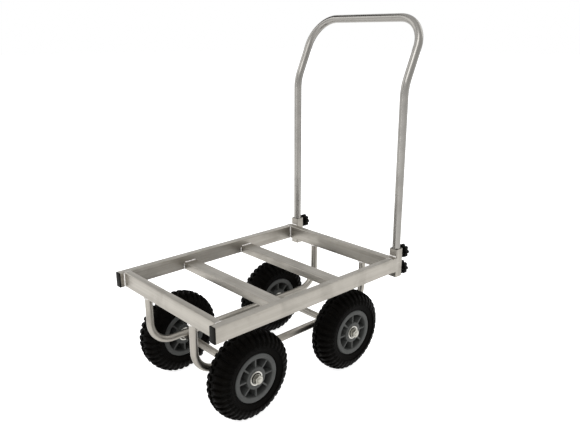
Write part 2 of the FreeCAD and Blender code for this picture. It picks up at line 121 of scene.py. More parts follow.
class Graph:
    """A node tree with short ways to add nodes and join sockets."""

    def __init__(self, tree: bpy.types.NodeTree) -> None:
        """Takes the tree to work on."""
        self.tree = tree

    def add(self, kind: str, inputs: dict | None = None, **settings) -> bpy.types.Node:
        """Adds one node.

        Args:
            kind: the node's type name without "ShaderNode".
            inputs: values or source sockets, by input name or number.
            settings: properties to set on the node first.

        Returns:
            The node.
        """
        node = self.tree.nodes.new("ShaderNode" + kind)
        for name, value in settings.items():
            setattr(node, name, value)
        for name, value in (inputs or {}).items():
            self.feed(node.inputs[name], value)
        return node

    def feed(self, target: bpy.types.NodeSocket, value: object) -> None:
        """Joins a socket to target, or sets target's own value."""
        if isinstance(value, bpy.types.NodeSocket):
            self.tree.links.new(value, target)
        else:
            target.default_value = value

    def noise(self, vector: bpy.types.NodeSocket, scale: object, detail: float = 3.0,
              rough: float = 0.5) -> bpy.types.NodeSocket:
        """A noise value between 0 and 1.

        Args:
            vector: where to read the noise.
            scale: features for each metre, a number or a socket.
            detail: octaves.
            rough: weight of the finer octaves.

        Returns:
            The value socket.
        """
        return self.add("TexNoise", {"Vector": vector, "Scale": scale, "Detail": detail,
                                     "Roughness": rough}).outputs["Fac"]

    def span(self, value: bpy.types.NodeSocket, low: object, high: object, start: float = 0.0,
             end: float = 1.0) -> bpy.types.NodeSocket:
        """Maps low..high to start..end, clamped.

        Args:
            value: the socket to map.
            low: number or socket that gives start.
            high: number or socket that gives end.
            start: result at low.
            end: result at high.

        Returns:
            The mapped socket.
        """
        node = self.add("MapRange", {"Value": value, "From Min": low, "From Max": high,
                                     "To Min": start, "To Max": end})
        return node.outputs["Result"]

    def blend(self, share: object, first: object, second: object) -> bpy.types.NodeSocket:
        """Mixes two colours.

        Args:
            share: how much of the second colour shows.
            first: colour or socket.
            second: colour or socket.

        Returns:
            The colour socket.
        """
        node = self.add("Mix", data_type="RGBA")
        self.feed(node.inputs["Factor"], share)
        self.feed(node.inputs[6], first)
        self.feed(node.inputs[7], second)
        return node.outputs[2]

    def math(self, operation: str, first: object, second: object = 0.0) -> bpy.types.NodeSocket:
        """One math node's value.

        Args:
            operation: the node's operation.
            first: number or socket.
            second: number or socket.

        Returns:
            The value socket.
        """
        return self.add("Math", {0: first, 1: second}, operation=operation).outputs[0]

    def vector(self, operation: str, first: object, second: object) -> bpy.types.NodeSocket:
        """One vector math node's vector.

        Args:
            operation: the node's operation; SCALE takes a number second.
            first: vector or socket.
            second: vector, number or socket.

        Returns:
            The vector socket.
        """
        key = "Scale" if operation == "SCALE" else 1
        return self.add("VectorMath", {0: first, key: second}, operation=operation).outputs[0]


def empty_graph(owner: bpy.types.Material | bpy.types.World) -> Graph:
    """Clears the node tree of a material or world and returns its graph."""
    owner.use_nodes = True
    owner.node_tree.nodes.clear()
    return Graph(owner.node_tree)


class EffectGroup:
    """A shader node group with named sockets, while it is being built."""

    def __init__(self, name: str, inputs: dict[str, tuple[str, object]], outputs: dict[str, str]) -> None:
        """Makes the sockets.

        Args:
            name: the group's name.
            inputs: socket type and default value by name.
            outputs: socket type by name.
        """
        self.tree = bpy.data.node_groups.new(name, "ShaderNodeTree")
        for title, (kind, value) in inputs.items():
            socket = self.tree.interface.new_socket(title, in_out="INPUT", socket_type="NodeSocket" + kind)
            if value is not None:
                socket.default_value = value
        for title, kind in outputs.items():
            self.tree.interface.new_socket(title, in_out="OUTPUT", socket_type="NodeSocket" + kind)
        self.graph = Graph(self.tree)
        self.given = self.tree.nodes.new("NodeGroupInput").outputs
        self.end = self.tree.nodes.new("NodeGroupOutput")

    def give(self, name: str, value: object) -> None:
        """Joins a socket to one of the group's outputs."""
        self.graph.feed(self.end.inputs[name], value)


class Effects:
    """The shader node groups that several finishes share."""

    def __init__(self) -> None:
        """Builds every group once."""
        self.drawing_lines = self.build_drawing_lines()
        self.scratches = self.build_scratches()
        self.smudges = self.build_smudges()
        self.cloudiness = self.build_cloudiness()
        self.settled_dust = self.build_settled_dust()
        self.round_the_tube = self.build_round_the_tube()

    def place(self, graph: Graph, tree: bpy.types.NodeTree, inputs: dict) -> bpy.types.Node:
        """Puts a group into a material.

        Args:
            graph: the material's graph.
            tree: the group.
            inputs: values or sockets by input name.

        Returns:
            The group node.
        """
        node = graph.tree.nodes.new("ShaderNodeGroup")
        node.node_tree = tree
        for name, value in inputs.items():
            graph.feed(node.inputs[name], value)
        return node

    def build_drawing_lines(self) -> bpy.types.NodeTree:
        """Long fine lines that extrusion and brushing leave. Returns the group."""
        group = EffectGroup("drawing_lines", {"Vector": ("Vector", None), "Stretch": ("Vector", (5.0, 420.0, 420.0))},
                            {"Lines": "Float", "Bands": "Float", "Streaks": "Float"})
        g = group.graph
        fine = g.vector("MULTIPLY", group.given["Vector"], group.given["Stretch"])
        broad = g.vector("SCALE", fine, 0.24)
        group.give("Lines", g.noise(fine, 1.0, 4.0, 0.6))
        group.give("Bands", g.span(g.noise(broad, 1.0, 2.0), 0.3, 0.7))
        shifted = g.vector("ADD", g.vector("SCALE", fine, 0.55), (31.0, 17.0, 53.0))
        group.give("Streaks", g.span(g.noise(shifted, 1.0, 1.0), 0.60, 0.74))
        return group.tree

    def build_scratches(self) -> bpy.types.NodeTree:
        """Fine scratches in two directions, in patches. Returns the group."""
        group = EffectGroup("handling_scratches", {"Vector": ("Vector", None), "Amount": ("Float", 0.5)},
                            {"Scratches": "Float"})
        g = group.graph
        found = []
        for turn in ((0.5, 0.9, 0.3), (1.1, -0.4, 0.8)):
            laid = g.add("Mapping", {"Vector": group.given["Vector"], "Rotation": turn,
                                     "Scale": (520.0, 16.0, 520.0)}).outputs[0]
            found.append(g.span(g.noise(laid, 1.0, 1.0), 0.70, 0.78))
        patches = g.span(g.noise(group.given["Vector"], 24.0, 2.0), 0.48, 0.66)
        both = g.math("MULTIPLY", g.math("MAXIMUM", found[0], found[1]), patches)
        group.give("Scratches", g.math("MULTIPLY", both, group.given["Amount"]))
        return group.tree

    def build_smudges(self) -> bpy.types.NodeTree:
        """Soft dull patches of handling and oxide. Returns the group."""
        group = EffectGroup("oxide_smudges", {"Vector": ("Vector", None), "Scale": ("Float", 14.0)},
                            {"Smudges": "Float"})
        g = group.graph
        bend = g.add("TexNoise", {"Vector": group.given["Vector"], "Scale": 7.0}).outputs["Color"]
        moved = g.vector("ADD", group.given["Vector"], g.vector("SCALE", bend, 0.12))
        group.give("Smudges", g.span(g.noise(moved, group.given["Scale"], 5.0, 0.6), 0.46, 0.70))
        return group.tree

    def build_cloudiness(self) -> bpy.types.NodeTree:
        """Broad uneven tone with fine flecks. Returns the group."""
        group = EffectGroup("cloudiness", {"Vector": ("Vector", None), "Broad": ("Float", 12.0),
                                           "Fine": ("Float", 900.0)}, {"Clouds": "Float", "Flecks": "Float"})
        g, given = group.graph, group.given
        group.give("Clouds", g.span(g.noise(given["Vector"], given["Broad"], 4.0), 0.3, 0.7))
        group.give("Flecks", g.noise(given["Vector"], given["Fine"], 2.0))
        return group.tree

    def build_settled_dust(self) -> bpy.types.NodeTree:
        """Dust that lies in patches, thicker near the ground. Returns the group."""
        group = EffectGroup("settled_dust", {"Vector": ("Vector", None), "Reach": ("Float", 0.26),
                                             "Amount": ("Float", 0.3)}, {"Dust": "Float"})
        g, given = group.graph, group.given
        height = g.add("SeparateXYZ", {0: given["Vector"]}).outputs["Z"]
        low = g.span(height, 0.0, given["Reach"], 1.0, 0.25)
        patches = g.span(g.noise(given["Vector"], 60.0, 5.0, 0.65), 0.38, 0.72)
        group.give("Dust", g.math("MULTIPLY", g.math("MULTIPLY", patches, low), given["Amount"]))
        return group.tree

    def build_round_the_tube(self) -> bpy.types.NodeTree:
        """Turns a tube's own map, share of the turn and metres along, into a place on a straight tube."""
        group = EffectGroup("round_the_tube", {"UV": ("Vector", None), "Radius": ("Float", 12.7 * MM)},
                            {"Vector": "Vector"})
        g = group.graph
        parts = g.add("SeparateXYZ", {0: group.given["UV"]}).outputs
        angle = g.math("MULTIPLY", parts["X"], FULL_TURN)
        across = g.math("MULTIPLY", g.math("COSINE", angle), group.given["Radius"])
        up = g.math("MULTIPLY", g.math("SINE", angle), group.given["Radius"])
        group.give("Vector", g.add("CombineXYZ", {"X": across, "Y": up, "Z": parts["Y"]}).outputs[0])
        return group.tree


# ---- finishes ----


def new_material(name: str) -> tuple[bpy.types.Material, Graph, bpy.types.Node, bpy.types.NodeSocket]:
    """An empty material with a Principled shader on its output.

    Args:
        name: the material's name.

    Returns:
        The material, its graph, the shader, and the socket that gives the place on the object.
    """
    material = bpy.data.materials.new(name)
    graph = empty_graph(material)
    shader = graph.add("BsdfPrincipled")
    output = graph.add("OutputMaterial")
    graph.feed(output.inputs["Surface"], shader.outputs["BSDF"])
    place = graph.add("TexCoord").outputs["Object"]
    return material, graph, shader, place


def opaque(red: float, green: float, blue: float) -> Colour:
    """An opaque colour from three linear parts."""
    return (red, green, blue, 1.0)


@dataclass(frozen=True)
class DrawnMetal:
    """Bare drawn or turned metal: lengthwise lines, dull smudges and bright scratches."""

    name: str
    dark: Colour
    light: Colour
    smooth: float = 0.30
    dull: float = 0.45
    grain: Grain = Grain.EVEN
    relief: float = 0.08
    streaks: float = 0.20
    smudges: float = 0.25
    scratches: float = 0.5
    radius: float = 0.0

    def build(self, effects: Effects) -> bpy.types.Material:
        """Makes the material.

        Args:
            effects: the shared groups.

        Returns:
            The material.
        """
        material, g, shader, place = new_material(self.name)
        run = place
        if self.grain is Grain.TUBE:
            own_map = g.add("TexCoord").outputs["UV"]
            run = effects.place(g, effects.round_the_tube, {"UV": own_map, "Radius": self.radius}).outputs[0]
        lines = effects.place(g, effects.drawing_lines, {"Vector": run, "Stretch": self.grain.value}).outputs
        smudges = effects.place(g, effects.smudges, {"Vector": place, "Scale": 13.0}).outputs[0]
        marks = effects.place(g, effects.scratches, {"Vector": place, "Amount": self.scratches}).outputs[0]
        colour = g.blend(lines["Bands"], self.dark, self.light)
        shaded = tuple(0.62 * part for part in self.dark[:3]) + (1.0,)
        streaked = g.blend(g.math("MULTIPLY", lines["Streaks"], self.streaks), colour, shaded)
        dulled = g.blend(g.math("MULTIPLY", smudges, self.smudges), streaked, shaded)
        bright = tuple(min(1.0, 1.35 * part) for part in self.light[:3]) + (1.0,)
        worn = g.blend(marks, dulled, bright)
        drawn = g.span(lines["Lines"], 0.3, 0.7, self.smooth, self.dull)
        rough = g.math("ADD", drawn, g.math("MULTIPLY", smudges, 0.12))
        height = g.math("SUBTRACT", lines["Lines"], g.math("MULTIPLY", marks, 0.8))
        bump = g.add("Bump", {"Height": height, "Strength": self.relief, "Distance": 0.0004})
        g.feed(shader.inputs["Base Color"], worn)
        g.feed(shader.inputs["Roughness"], rough)
        g.feed(shader.inputs["Normal"], bump.outputs["Normal"])
        shader.inputs["Metallic"].default_value = 1.0
        return material


@dataclass(frozen=True)
class WeldMetal:
    """Frosted aluminium weld with a brownish bloom in its hollows."""

    name: str
    dark: Colour
    light: Colour

    def build(self, effects: Effects) -> bpy.types.Material:
        """Makes the material.

        Args:
            effects: the shared groups.

        Returns:
            The material.
        """
        material, g, shader, place = new_material(self.name)
        clouds = effects.place(g, effects.cloudiness, {"Vector": place, "Broad": 170.0, "Fine": 1400.0}).outputs
        smudges = effects.place(g, effects.smudges, {"Vector": place, "Scale": 90.0}).outputs[0]
        colour = g.blend(clouds["Clouds"], self.dark, self.light)
        bloomed = g.blend(g.math("MULTIPLY", smudges, 0.5), colour, tuple(0.5 * c for c in self.dark[:3]) + (1.0,))
        rough = g.span(clouds["Flecks"], 0.3, 0.7, 0.26, 0.48)
        bump = g.add("Bump", {"Height": clouds["Flecks"], "Strength": 0.35, "Distance": 0.0006})
        g.feed(shader.inputs["Base Color"], bloomed)
        g.feed(shader.inputs["Roughness"], rough)
        g.feed(shader.inputs["Normal"], bump.outputs["Normal"])
        shader.inputs["Metallic"].default_value = 1.0
        return material


@dataclass(frozen=True)
class Moulding:
    """Moulded plastic or rubber: a fine grain, uneven tone, scuffs and a little dust."""

    name: str
    dark: Colour
    light: Colour
    smooth: float = 0.38
    dull: float = 0.55
    shine: float = 0.5
    relief: float = 0.12
    broad: float = 30.0
    scuffs: float = 0.2
    dust: float = 0.0

    def build(self, effects: Effects) -> bpy.types.Material:
        """Makes the material.

        Args:
            effects: the shared groups.

        Returns:
            The material.
        """
        material, g, shader, place = new_material(self.name)
        clouds = effects.place(g, effects.cloudiness, {"Vector": place, "Broad": self.broad, "Fine": 1400.0}).outputs
        dust = effects.place(g, effects.settled_dust, {"Vector": place, "Reach": 0.3, "Amount": self.dust}).outputs[0]
        marks = effects.place(g, effects.scratches, {"Vector": place, "Amount": self.scuffs}).outputs[0]
        colour = g.blend(clouds["Clouds"], self.dark, self.light)
        scuffed = g.blend(marks, colour, tuple(min(1.0, 2.0 * part) for part in self.light[:3]) + (1.0,))
        grain = g.span(clouds["Flecks"], 0.3, 0.7, self.smooth, self.dull)
        height = g.math("SUBTRACT", clouds["Flecks"], g.math("MULTIPLY", marks, 0.6))
        bump = g.add("Bump", {"Height": height, "Strength": self.relief, "Distance": 0.0004})
        g.feed(shader.inputs["Base Color"], g.blend(dust, scuffed, DUST))
        g.feed(shader.inputs["Roughness"], g.math("ADD", grain, g.math("MULTIPLY", dust, 0.3)))
        g.feed(shader.inputs["Normal"], bump.outputs["Normal"])
        shader.inputs["Specular IOR Level"].default_value = self.shine
        return material


DUST = opaque(0.10, 0.08, 0.06)
ALUMINIUM = (opaque(0.300, 0.282, 0.250), opaque(0.370, 0.348, 0.312))
FINISHES = {
    "bar_across": DrawnMetal("mill_aluminium_across", *ALUMINIUM, grain=Grain.ACROSS),
    "bar_along": DrawnMetal("mill_aluminium_along", *ALUMINIUM, grain=Grain.ALONG),
    "bar_up": DrawnMetal("mill_aluminium_up", *ALUMINIUM, grain=Grain.UP),
    "runner": DrawnMetal("mill_aluminium_tube", *ALUMINIUM, grain=Grain.TUBE, relief=0.006, radius=11 * MM),
    "handle": DrawnMetal("polished_aluminium", opaque(0.235, 0.225, 0.208), opaque(0.30, 0.29, 0.272), smooth=0.18,
                         dull=0.28, grain=Grain.TUBE, relief=0.004, scratches=0.1, radius=12.7 * MM),
    "turned": DrawnMetal("turned_aluminium", *ALUMINIUM, grain=Grain.EVEN, relief=0.05),
    "zinc": DrawnMetal("zinc_plated_steel", opaque(0.36, 0.35, 0.31), opaque(0.54, 0.53, 0.48), smooth=0.22,
                       dull=0.36, relief=0.05),
    "bearing": DrawnMetal("bearing_steel", opaque(0.42, 0.41, 0.38), opaque(0.60, 0.59, 0.55), smooth=0.2,
                          dull=0.34, relief=0.04),
    "weld": WeldMetal("weld_aluminium", opaque(0.55, 0.53, 0.51), opaque(0.84, 0.82, 0.80)),
    "cap": Moulding("black_cap_plastic", opaque(0.0022, 0.0019, 0.0014), opaque(0.0050, 0.0042, 0.0030), shine=0.06,
                    scuffs=0.05),
    "knob": Moulding("black_knob_plastic", opaque(0.0008, 0.0007, 0.0007), opaque(0.002, 0.0018, 0.0018),
                     smooth=0.34, dull=0.5, shine=0.08),
    "rim": Moulding("grey_rim_plastic", opaque(0.062, 0.065, 0.062), opaque(0.084, 0.087, 0.084), shine=0.25,
                    dust=0.10),
    "seal": Moulding("bearing_seal", opaque(0.008, 0.008, 0.008), opaque(0.016, 0.015, 0.014), shine=0.2),
    "tread": Moulding("tread_rubber", opaque(0.0006, 0.0005, 0.0003), opaque(0.0018, 0.0014, 0.0009), smooth=0.42,
                      dull=0.68, shine=0.03, relief=0.3, broad=70.0, scuffs=0.08, dust=0.015),
    "butyl": Moulding("butyl_rubber", opaque(0.010, 0.010, 0.010), opaque(0.018, 0.017, 0.016), smooth=0.5,
                      dull=0.7, shine=0.2, dust=0.05),
}


class PaintShop:
    """Builds each finish once and hands it out."""

    def __init__(self) -> None:
        """Builds the shared groups."""
        self.effects = Effects()
        self.made: dict[str, bpy.types.Material] = {}

    def get(self, finish: str) -> bpy.types.Material:
        """The material of a finish.

        Args:
            finish: its key in FINISHES.

        Returns:
            The material.
        """
        if finish not in self.made:
            self.made[finish] = FINISHES[finish].build(self.effects)
        return self.made[finish]


def to_object(bm: bmesh.types.BMesh, name: str) -> bpy.types.Object:
    """Links a new object with the mesh, and frees the mesh's working copy."""
    mesh = bpy.data.meshes.new(name)
    bm.to_mesh(mesh)
    bm.free()
    made = bpy.data.objects.new(name, mesh)
    bpy.context.scene.collection.objects.link(made)
    return made


@dataclass
class Workshop:
    """What every sub-assembly needs: the frame, the paint shop and the count of pieces."""

    frame: dict
    paint: PaintShop = field(default_factory=PaintShop)
    pieces: int = 0

    def finish(self, bm: bmesh.types.BMesh, name: str, body: str, finish: str, slot: str,
               replaces: tuple[str, ...] = (), crease: float = 35.0) -> bpy.types.Object:
        """Makes a mesh the finished piece that rides on a body.

        Args:
            bm: the mesh, in place; it is freed.
            name: the piece's name.
            body: the body that it rides on.
            finish: key in FINISHES.
            slot: the record's material slot; not used.
            replaces: nodes that the piece stands for.
            crease: edges that turn more than this many degrees stay sharp.

        Returns:
            The object.
        """
        bmesh.ops.remove_doubles(bm, verts=bm.verts[:], dist=1e-6)
        bmesh.ops.recalc_face_normals(bm, faces=bm.faces[:])
        piece = to_object(bm, name)
        mesh = piece.data
        mesh.shade_smooth()
        mesh.set_sharp_from_angle(angle=math.radians(crease))
        mesh.materials.append(self.paint.get(finish))
        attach(piece, body)
        if replaces:
            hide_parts(*replaces)
        self.pieces += 1
        LOG.info("built %s on %s, %d faces", name, body, len(mesh.polygons))
        return piece

    def deburr(self, node: str, body: str, finish: str, slot: str, round_by: float = 0.0) -> bpy.types.Object:
        """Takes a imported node's shape, merges it, breaks its sharp edges and lets it stand for the node.

        Args:
            node: the node's name.
            body: the body that it rides on.
            finish: key in FINISHES.
            slot: the record's material slot.
            round_by: how far sharp edges are broken, in metres.

        Returns:
            The object.
        """
        bm = bmesh.new()
        bm.from_mesh(self.frame["nodes"][node].data)
        bmesh.ops.remove_doubles(bm, verts=bm.verts[:], dist=1e-5)
        bmesh.ops.dissolve_limit(bm, angle_limit=math.radians(0.5), verts=bm.verts[:], edges=bm.edges[:])
        if round_by:
            sharp = [e for e in bm.edges if len(e.link_faces) == 2 and e.calc_face_angle() > math.radians(40)]
            bmesh.ops.bevel(bm, geom=sharp, offset=round_by, offset_type="OFFSET", affect="EDGES", segments=2,
                            profile=0.5, material=-1, clamp_overlap=True)
        return self.finish(bm, node + "_finished", body, finish, slot, (node,))


# ---- shapes ----


def turn_outline(bm: bmesh.types.BMesh, outline: Outline, centre: Vector, steps: int, closed: bool = True,
                 axis: Vector = X_AXIS, side: Vector = Z_AXIS) -> None:
    """Spins an outline once round an axis.

    Args:
        bm: the mesh to add to.
        outline: (place along the axis, radius) of each corner.
        centre: a point on the axis.
        steps: faces round the turn.
        closed: whether the outline's ends join.
        axis: the axis.
        side: the direction in which the outline is drawn, square to the axis.
    """
    corners = [bm.verts.new(centre + axis * along + side * radius) for along, radius in outline]
    pairs = list(zip(corners, corners[1:] + corners[:1]))
    edges = [bm.edges.new(pair) for pair in (pairs if closed else pairs[:-1])]
    bmesh.ops.spin(bm, geom=corners + edges, cent=centre, axis=axis, dvec=(0, 0, 0), angle=FULL_TURN,
                   steps=steps, use_merge=True, use_duplicate=False)
    bmesh.ops.remove_doubles(bm, verts=bm.verts[:], dist=1e-7)


def repeat_round(part: bmesh.types.BMesh, centre: Vector, count: int) -> None:
    """Repeats a small mesh evenly round the X axis.

    Args:
        part: the mesh, which holds the first shape alone.
        centre: a point on the axis.
        count: how many shapes there are in the end.
    """
    bmesh.ops.spin(part, geom=part.verts[:] + part.edges[:] + part.faces[:], cent=centre, axis=X_AXIS,
                   dvec=(0, 0, 0), angle=FULL_TURN * (count - 1) / count, steps=count - 1, use_merge=False,
                   use_duplicate=True)


def join(bm: bmesh.types.BMesh, part: bmesh.types.BMesh) -> None:
    """Adds a small mesh to a larger one and frees it.

    Args:
        bm: the larger mesh.
        part: the mesh to add.
    """
    mesh = bpy.data.meshes.new("part")
    part.to_mesh(mesh)
    part.free()
    bm.from_mesh(mesh)
    bpy.data.meshes.remove(mesh)


@dataclass
class TubeBender:
    """Bends a straight tube, whose own map gives the share of the turn and the metres along it."""

    radius: float
    wall: float
    sides: int = 48
    arc_steps: int = 18

    def bend(self, corners: list[Vector], bends: list[float]) -> bmesh.types.BMesh:
        """Makes the tube's mesh.

        Args:
            corners: the corners of the centre line, with its two ends.
            bends: the radius of the centre line at each inner corner.

        Returns:
            The mesh of the tube with its bore.
        """
        runs, cuts, length = self.develop(corners, bends)
        bm = bmesh.new()
        bore = self.radius - self.wall
        turn_outline(bm, [(0.0, self.radius), (length, self.radius), (length, bore), (0.0, bore)], Vector(),
                     self.sides, axis=Z_AXIS, side=X_AXIS)
        for cut in cuts:
            bmesh.ops.bisect_plane(bm, geom=bm.verts[:] + bm.edges[:] + bm.faces[:], dist=1e-7,
                                   plane_co=(0, 0, cut), plane_no=Z_AXIS)
        self.map_faces(bm)
        for vert in bm.verts:
            along = min(max(vert.co.z, 0.0), length)
            start, frame, centre, axis, radius = [run for run in runs if run[0] <= along + 1e-9][-1]
            flat = Vector((vert.co.x, vert.co.y, 0.0))
            if radius:
                turn = Matrix.Rotation((along - start) / radius, 4, axis)
                vert.co = frame @ (centre + turn @ (flat - centre))
            else:
                vert.co = frame @ (flat + Z_AXIS * (along - start))
        return bm

    def map_faces(self, bm: bmesh.types.BMesh) -> None:
        """Writes the tube's own map while it is still straight."""
        layer = bm.loops.layers.uv.new("along_tube")
        for face in bm.faces:
            middle = face.calc_center_median()
            base = math.atan2(middle.y, middle.x)
            for loop in face.loops:
                corner = loop.vert.co
                swing = (math.atan2(corner.y, corner.x) - base + math.pi) % FULL_TURN - math.pi
                loop[layer].uv = ((base + swing) / FULL_TURN, corner.z)

    def develop(self, corners: list[Vector], bends: list[float]) -> tuple[list, list[float], float]:
        """Works out the straight tube that the bends need.

        Args:
            corners: the corners of the centre line, with its two ends.
            bends: the radius of the centre line at each inner corner.

        Returns:
            The runs (start, frame, arc centre, arc axis, arc radius), where to cut rings, and the length.
        """
        direction = (corners[1] - corners[0]).normalized()
        frame = Matrix.Translation(corners[0]) @ direction.to_track_quat("Z", "Y").to_matrix().to_4x4()
        runs, cuts, along, here = [], [], 0.0, corners[0]
        for before, corner, after, radius in zip(corners, corners[1:], corners[2:], bends):
            back, ahead = (before - corner).normalized(), (after - corner).normalized()
            swing = math.pi - back.angle(ahead)
            tangent = radius * math.tan(swing / 2)
            straight = (corner + back * tangent - here).length
            runs.append((along, frame.copy(), Vector(), Z_AXIS, 0.0))
            along += straight
            frame = frame @ Matrix.Translation((0, 0, straight))
            inward = frame.to_3x3().inverted() @ (ahead + back)
            centre = Vector((inward.x, inward.y, 0)).normalized() * radius
            axis = Z_AXIS.cross(centre).normalized()
            runs.append((along, frame.copy(), centre, axis, radius))
            cuts += [along + radius * swing * k / self.arc_steps for k in range(self.arc_steps + 1)]
            turn = Matrix.Rotation(swing, 4, axis)
            frame = frame @ Matrix.Translation(centre) @ turn @ Matrix.Translation(-centre)
            along += radius * swing
            here = corner + ahead * tangent
        runs.append((along, frame.copy(), Vector(), Z_AXIS, 0.0))
        return runs, cuts, along + (corners[-1] - here).length


@dataclass
class WeldTorch:
    """Lays rippled weld beads into one mesh."""

    size: float = 2.8 * MM
    ripple: float = 0.16
    pitch: float = 2.6 * MM
    sides: int = 9
    seed: int = 7

    def __post_init__(self) -> None:
        """Starts the mesh and the hand's unsteadiness."""
        self.bm = bmesh.new()
        self.hand = random.Random(self.seed)

    def bead(self, start: Vector, end: Vector, size: float = 0.0) -> None:
        """Lays a straight bead.

        Args:
            start: where it starts.
            end: where it ends.
            size: its half width, or 0 for the torch's own.
        """
        run = end - start
        turn = run.to_track_quat("Z", "Y").to_matrix().to_4x4()
        steps = max(6, round(run.length / (self.pitch / 4)))
        frames = [Matrix.Translation(start + run * (k / steps)) @ turn for k in range(steps + 1)]
        self.lay(frames, run.length, size or self.size, False)

    def ring(self, centre: Vector, axis: Vector, radius: float, size: float = 0.0) -> None:
        """Lays a bead right round a tube.

        Args:
            centre: the ring's centre.
            axis: the tube's axis.
            radius: from the centre to the bead's middle.
            size: its half width, or 0 for the torch's own.
        """
        side = Y_AXIS if abs(axis.y) < 0.5 else Z_AXIS
        up = axis.cross(side)
        steps = max(12, round(FULL_TURN * radius / (self.pitch / 4)))
        frames = []
        for k in range(steps):
            angle = FULL_TURN * k / steps
            out = side * math.cos(angle) + up * math.sin(angle)
            turn = Matrix((out, axis, axis.cross(out))).transposed().to_4x4()
            frames.append(Matrix.Translation(centre + out * radius) @ turn)
        self.lay(frames, FULL_TURN * radius, size or self.size, True)

    def lay(self, frames: list[Matrix], length: float, size: float, closed: bool) -> None:
        """Extrudes a ring of edges from frame to frame, swelling and shrinking as the torch pulses.

        Args:
            frames: where each section stands.
            length: the bead's length.
            size: its half width.
            closed: whether the last section joins the first.
        """
        pulses = max(2, round(length / self.pitch))
        swell = [1 + self.hand.uniform(-0.14, 0.14) for _ in range(pulses + 2)]
        last = None
        ring, first = [], []
        for k, frame in enumerate(frames):
            share = pulses * k / len(frames)
            index = int(share)
            local = swell[index] + (swell[index + 1] - swell[index]) * (share - index)
            width = size * local * (1 - self.ripple + self.ripple * 1.7 * abs(math.sin(math.pi * share)))
            if not closed and k in (0, len(frames) - 1):
                width *= 0.5
            here = frame @ Matrix.Scale(width, 4)
            if last is None:
                made = bmesh.ops.create_circle(self.bm, cap_ends=False, segments=self.sides, radius=1.0, matrix=here)
                ring = list({e for v in made["verts"] for e in v.link_edges})
                first = ring
            else:
                made = bmesh.ops.extrude_edge_only(self.bm, edges=ring)["geom"]
                verts = [v for v in made if isinstance(v, bmesh.types.BMVert)]
                bmesh.ops.transform(self.bm, matrix=here @ last.inverted(), verts=verts)
                ring = [e for e in made if isinstance(e, bmesh.types.BMEdge) and len(e.link_faces) == 1]
            last = here
        if closed:
            bmesh.ops.bridge_loops(self.bm, edges=first + ring)
        else:
            bmesh.ops.edgenet_fill(self.bm, edges=first)
            bmesh.ops.edgenet_fill(self.bm, edges=ring)

    def spatter(self, places: list[Vector], size: float = 0.9 * MM) -> None:
        """Drops small beads of metal.

        Args:
            places: where they stuck.
            size: their usual radius.
        """
        for place in places:
            made = bmesh.ops.create_icosphere(self.bm, subdivisions=2, radius=size * self.hand.uniform(0.6, 1.3))
            flat = Matrix.Diagonal((1.0, self.hand.uniform(0.8, 1.4), 0.55, 1.0))
            bmesh.ops.transform(self.bm, matrix=Matrix.Translation(place) @ flat, verts=made["verts"])


# ---- sub-assemblies ----


@dataclass
class Deck:
    """Rails, beams and slats of rectangular bar, with the rails' end caps and the welds between them."""

    shop: Workshop
    cap_round: float = 0.9 * MM
    fillet: float = 2.9 * MM
    slat_fillet: float = 2.2 * MM
    nose_fillet: float = 2.1 * MM
    tail_fillet: float = 3.3 * MM
    socket_fillet: float = 2.0 * MM
    spatter_on_rim: tuple[tuple[float, float], ...] = (
        (-0.236, -0.13), (-0.2335, -0.127), (-0.03, 0.286), (-0.02, 0.2885), (0.212, 0.283))
    spatter_on_slat: tuple[float, float] = (-0.21, 0.08)

    def build(self) -> None:
        """Builds and dresses the deck."""
        for node in ("front_crossbeam", "rear_crossbeam", "deck_slat_front", "deck_slat_rear"):
            self.shop.deburr(node, "frame", "bar_across", "frame_aluminium")
        for side in Side:
            self.shop.deburr(f"side_rail_{side.word}", "frame", "bar_along", "frame_aluminium")
            self.shop.deburr(f"beam_end_plate_{side.word}", "frame", "bar_up", "frame_aluminium", 0.4 * MM)
            self.shop.deburr(f"rail_end_cap_{side.word}", "frame", "cap", "cap_plastic", self.cap_round)
        self.build_welds()

    def build_welds(self) -> None:
        """Lays the beads in the deck's corners and along the ends of its slats."""
        torch = WeldTorch(self.fillet, seed=3)
        _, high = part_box("side_rail_left")
        for side in Side:
            x = side.value * -high.x
            for node in ("deck_slat_front", "deck_slat_rear"):
                front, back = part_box(node)
                edge = 3 * MM
                torch.bead(Vector((x, front.y + edge, back.z)), Vector((x, back.y - edge, back.z)))
                for y in (front.y, back.y):
                    torch.bead(Vector((x, y, front.z + edge)), Vector((x, y, back.z - edge)), self.slat_fillet)
            front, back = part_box("front_crossbeam")
            for y in (front.y, back.y):
                torch.bead(Vector((x, y, front.z + 1 * MM)), Vector((x, y, back.z - 1.5 * MM)))
            top = back.z - 1.6 * MM
            torch.bead(Vector((x, front.y + 2 * MM, top)), Vector((x, back.y - 2 * MM, top)), self.nose_fillet)
            front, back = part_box("rear_crossbeam")
            torch.bead(Vector((x, front.y, front.z + 1 * MM)), Vector((x, front.y, back.z - 1.5 * MM)),
                       self.tail_fillet)
            outer = side.value * back.x
            corner_x, corner_y = outer - side.value * 1.5 * MM, front.y + 0.5 * MM
            torch.bead(Vector((corner_x, corner_y, front.z + 4 * MM)), Vector((corner_x, corner_y, back.z - 4 * MM)),
                       self.slat_fillet)
            top = back.z - 1.4 * MM
            torch.bead(Vector((outer - side.value * 4 * MM, front.y, top)),
                       Vector((x + side.value * 3 * MM, front.y, top)), self.socket_fillet)
        _, slat_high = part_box("deck_slat_rear")
        torch.spatter([Vector((x, y, high.z)) for x, y in self.spatter_on_rim]
                      + [Vector((*self.spatter_on_slat, slat_high.z))])
        self.shop.finish(torch.bm, "deck_welds", "frame", "weld", "frame_aluminium", crease=70.0)


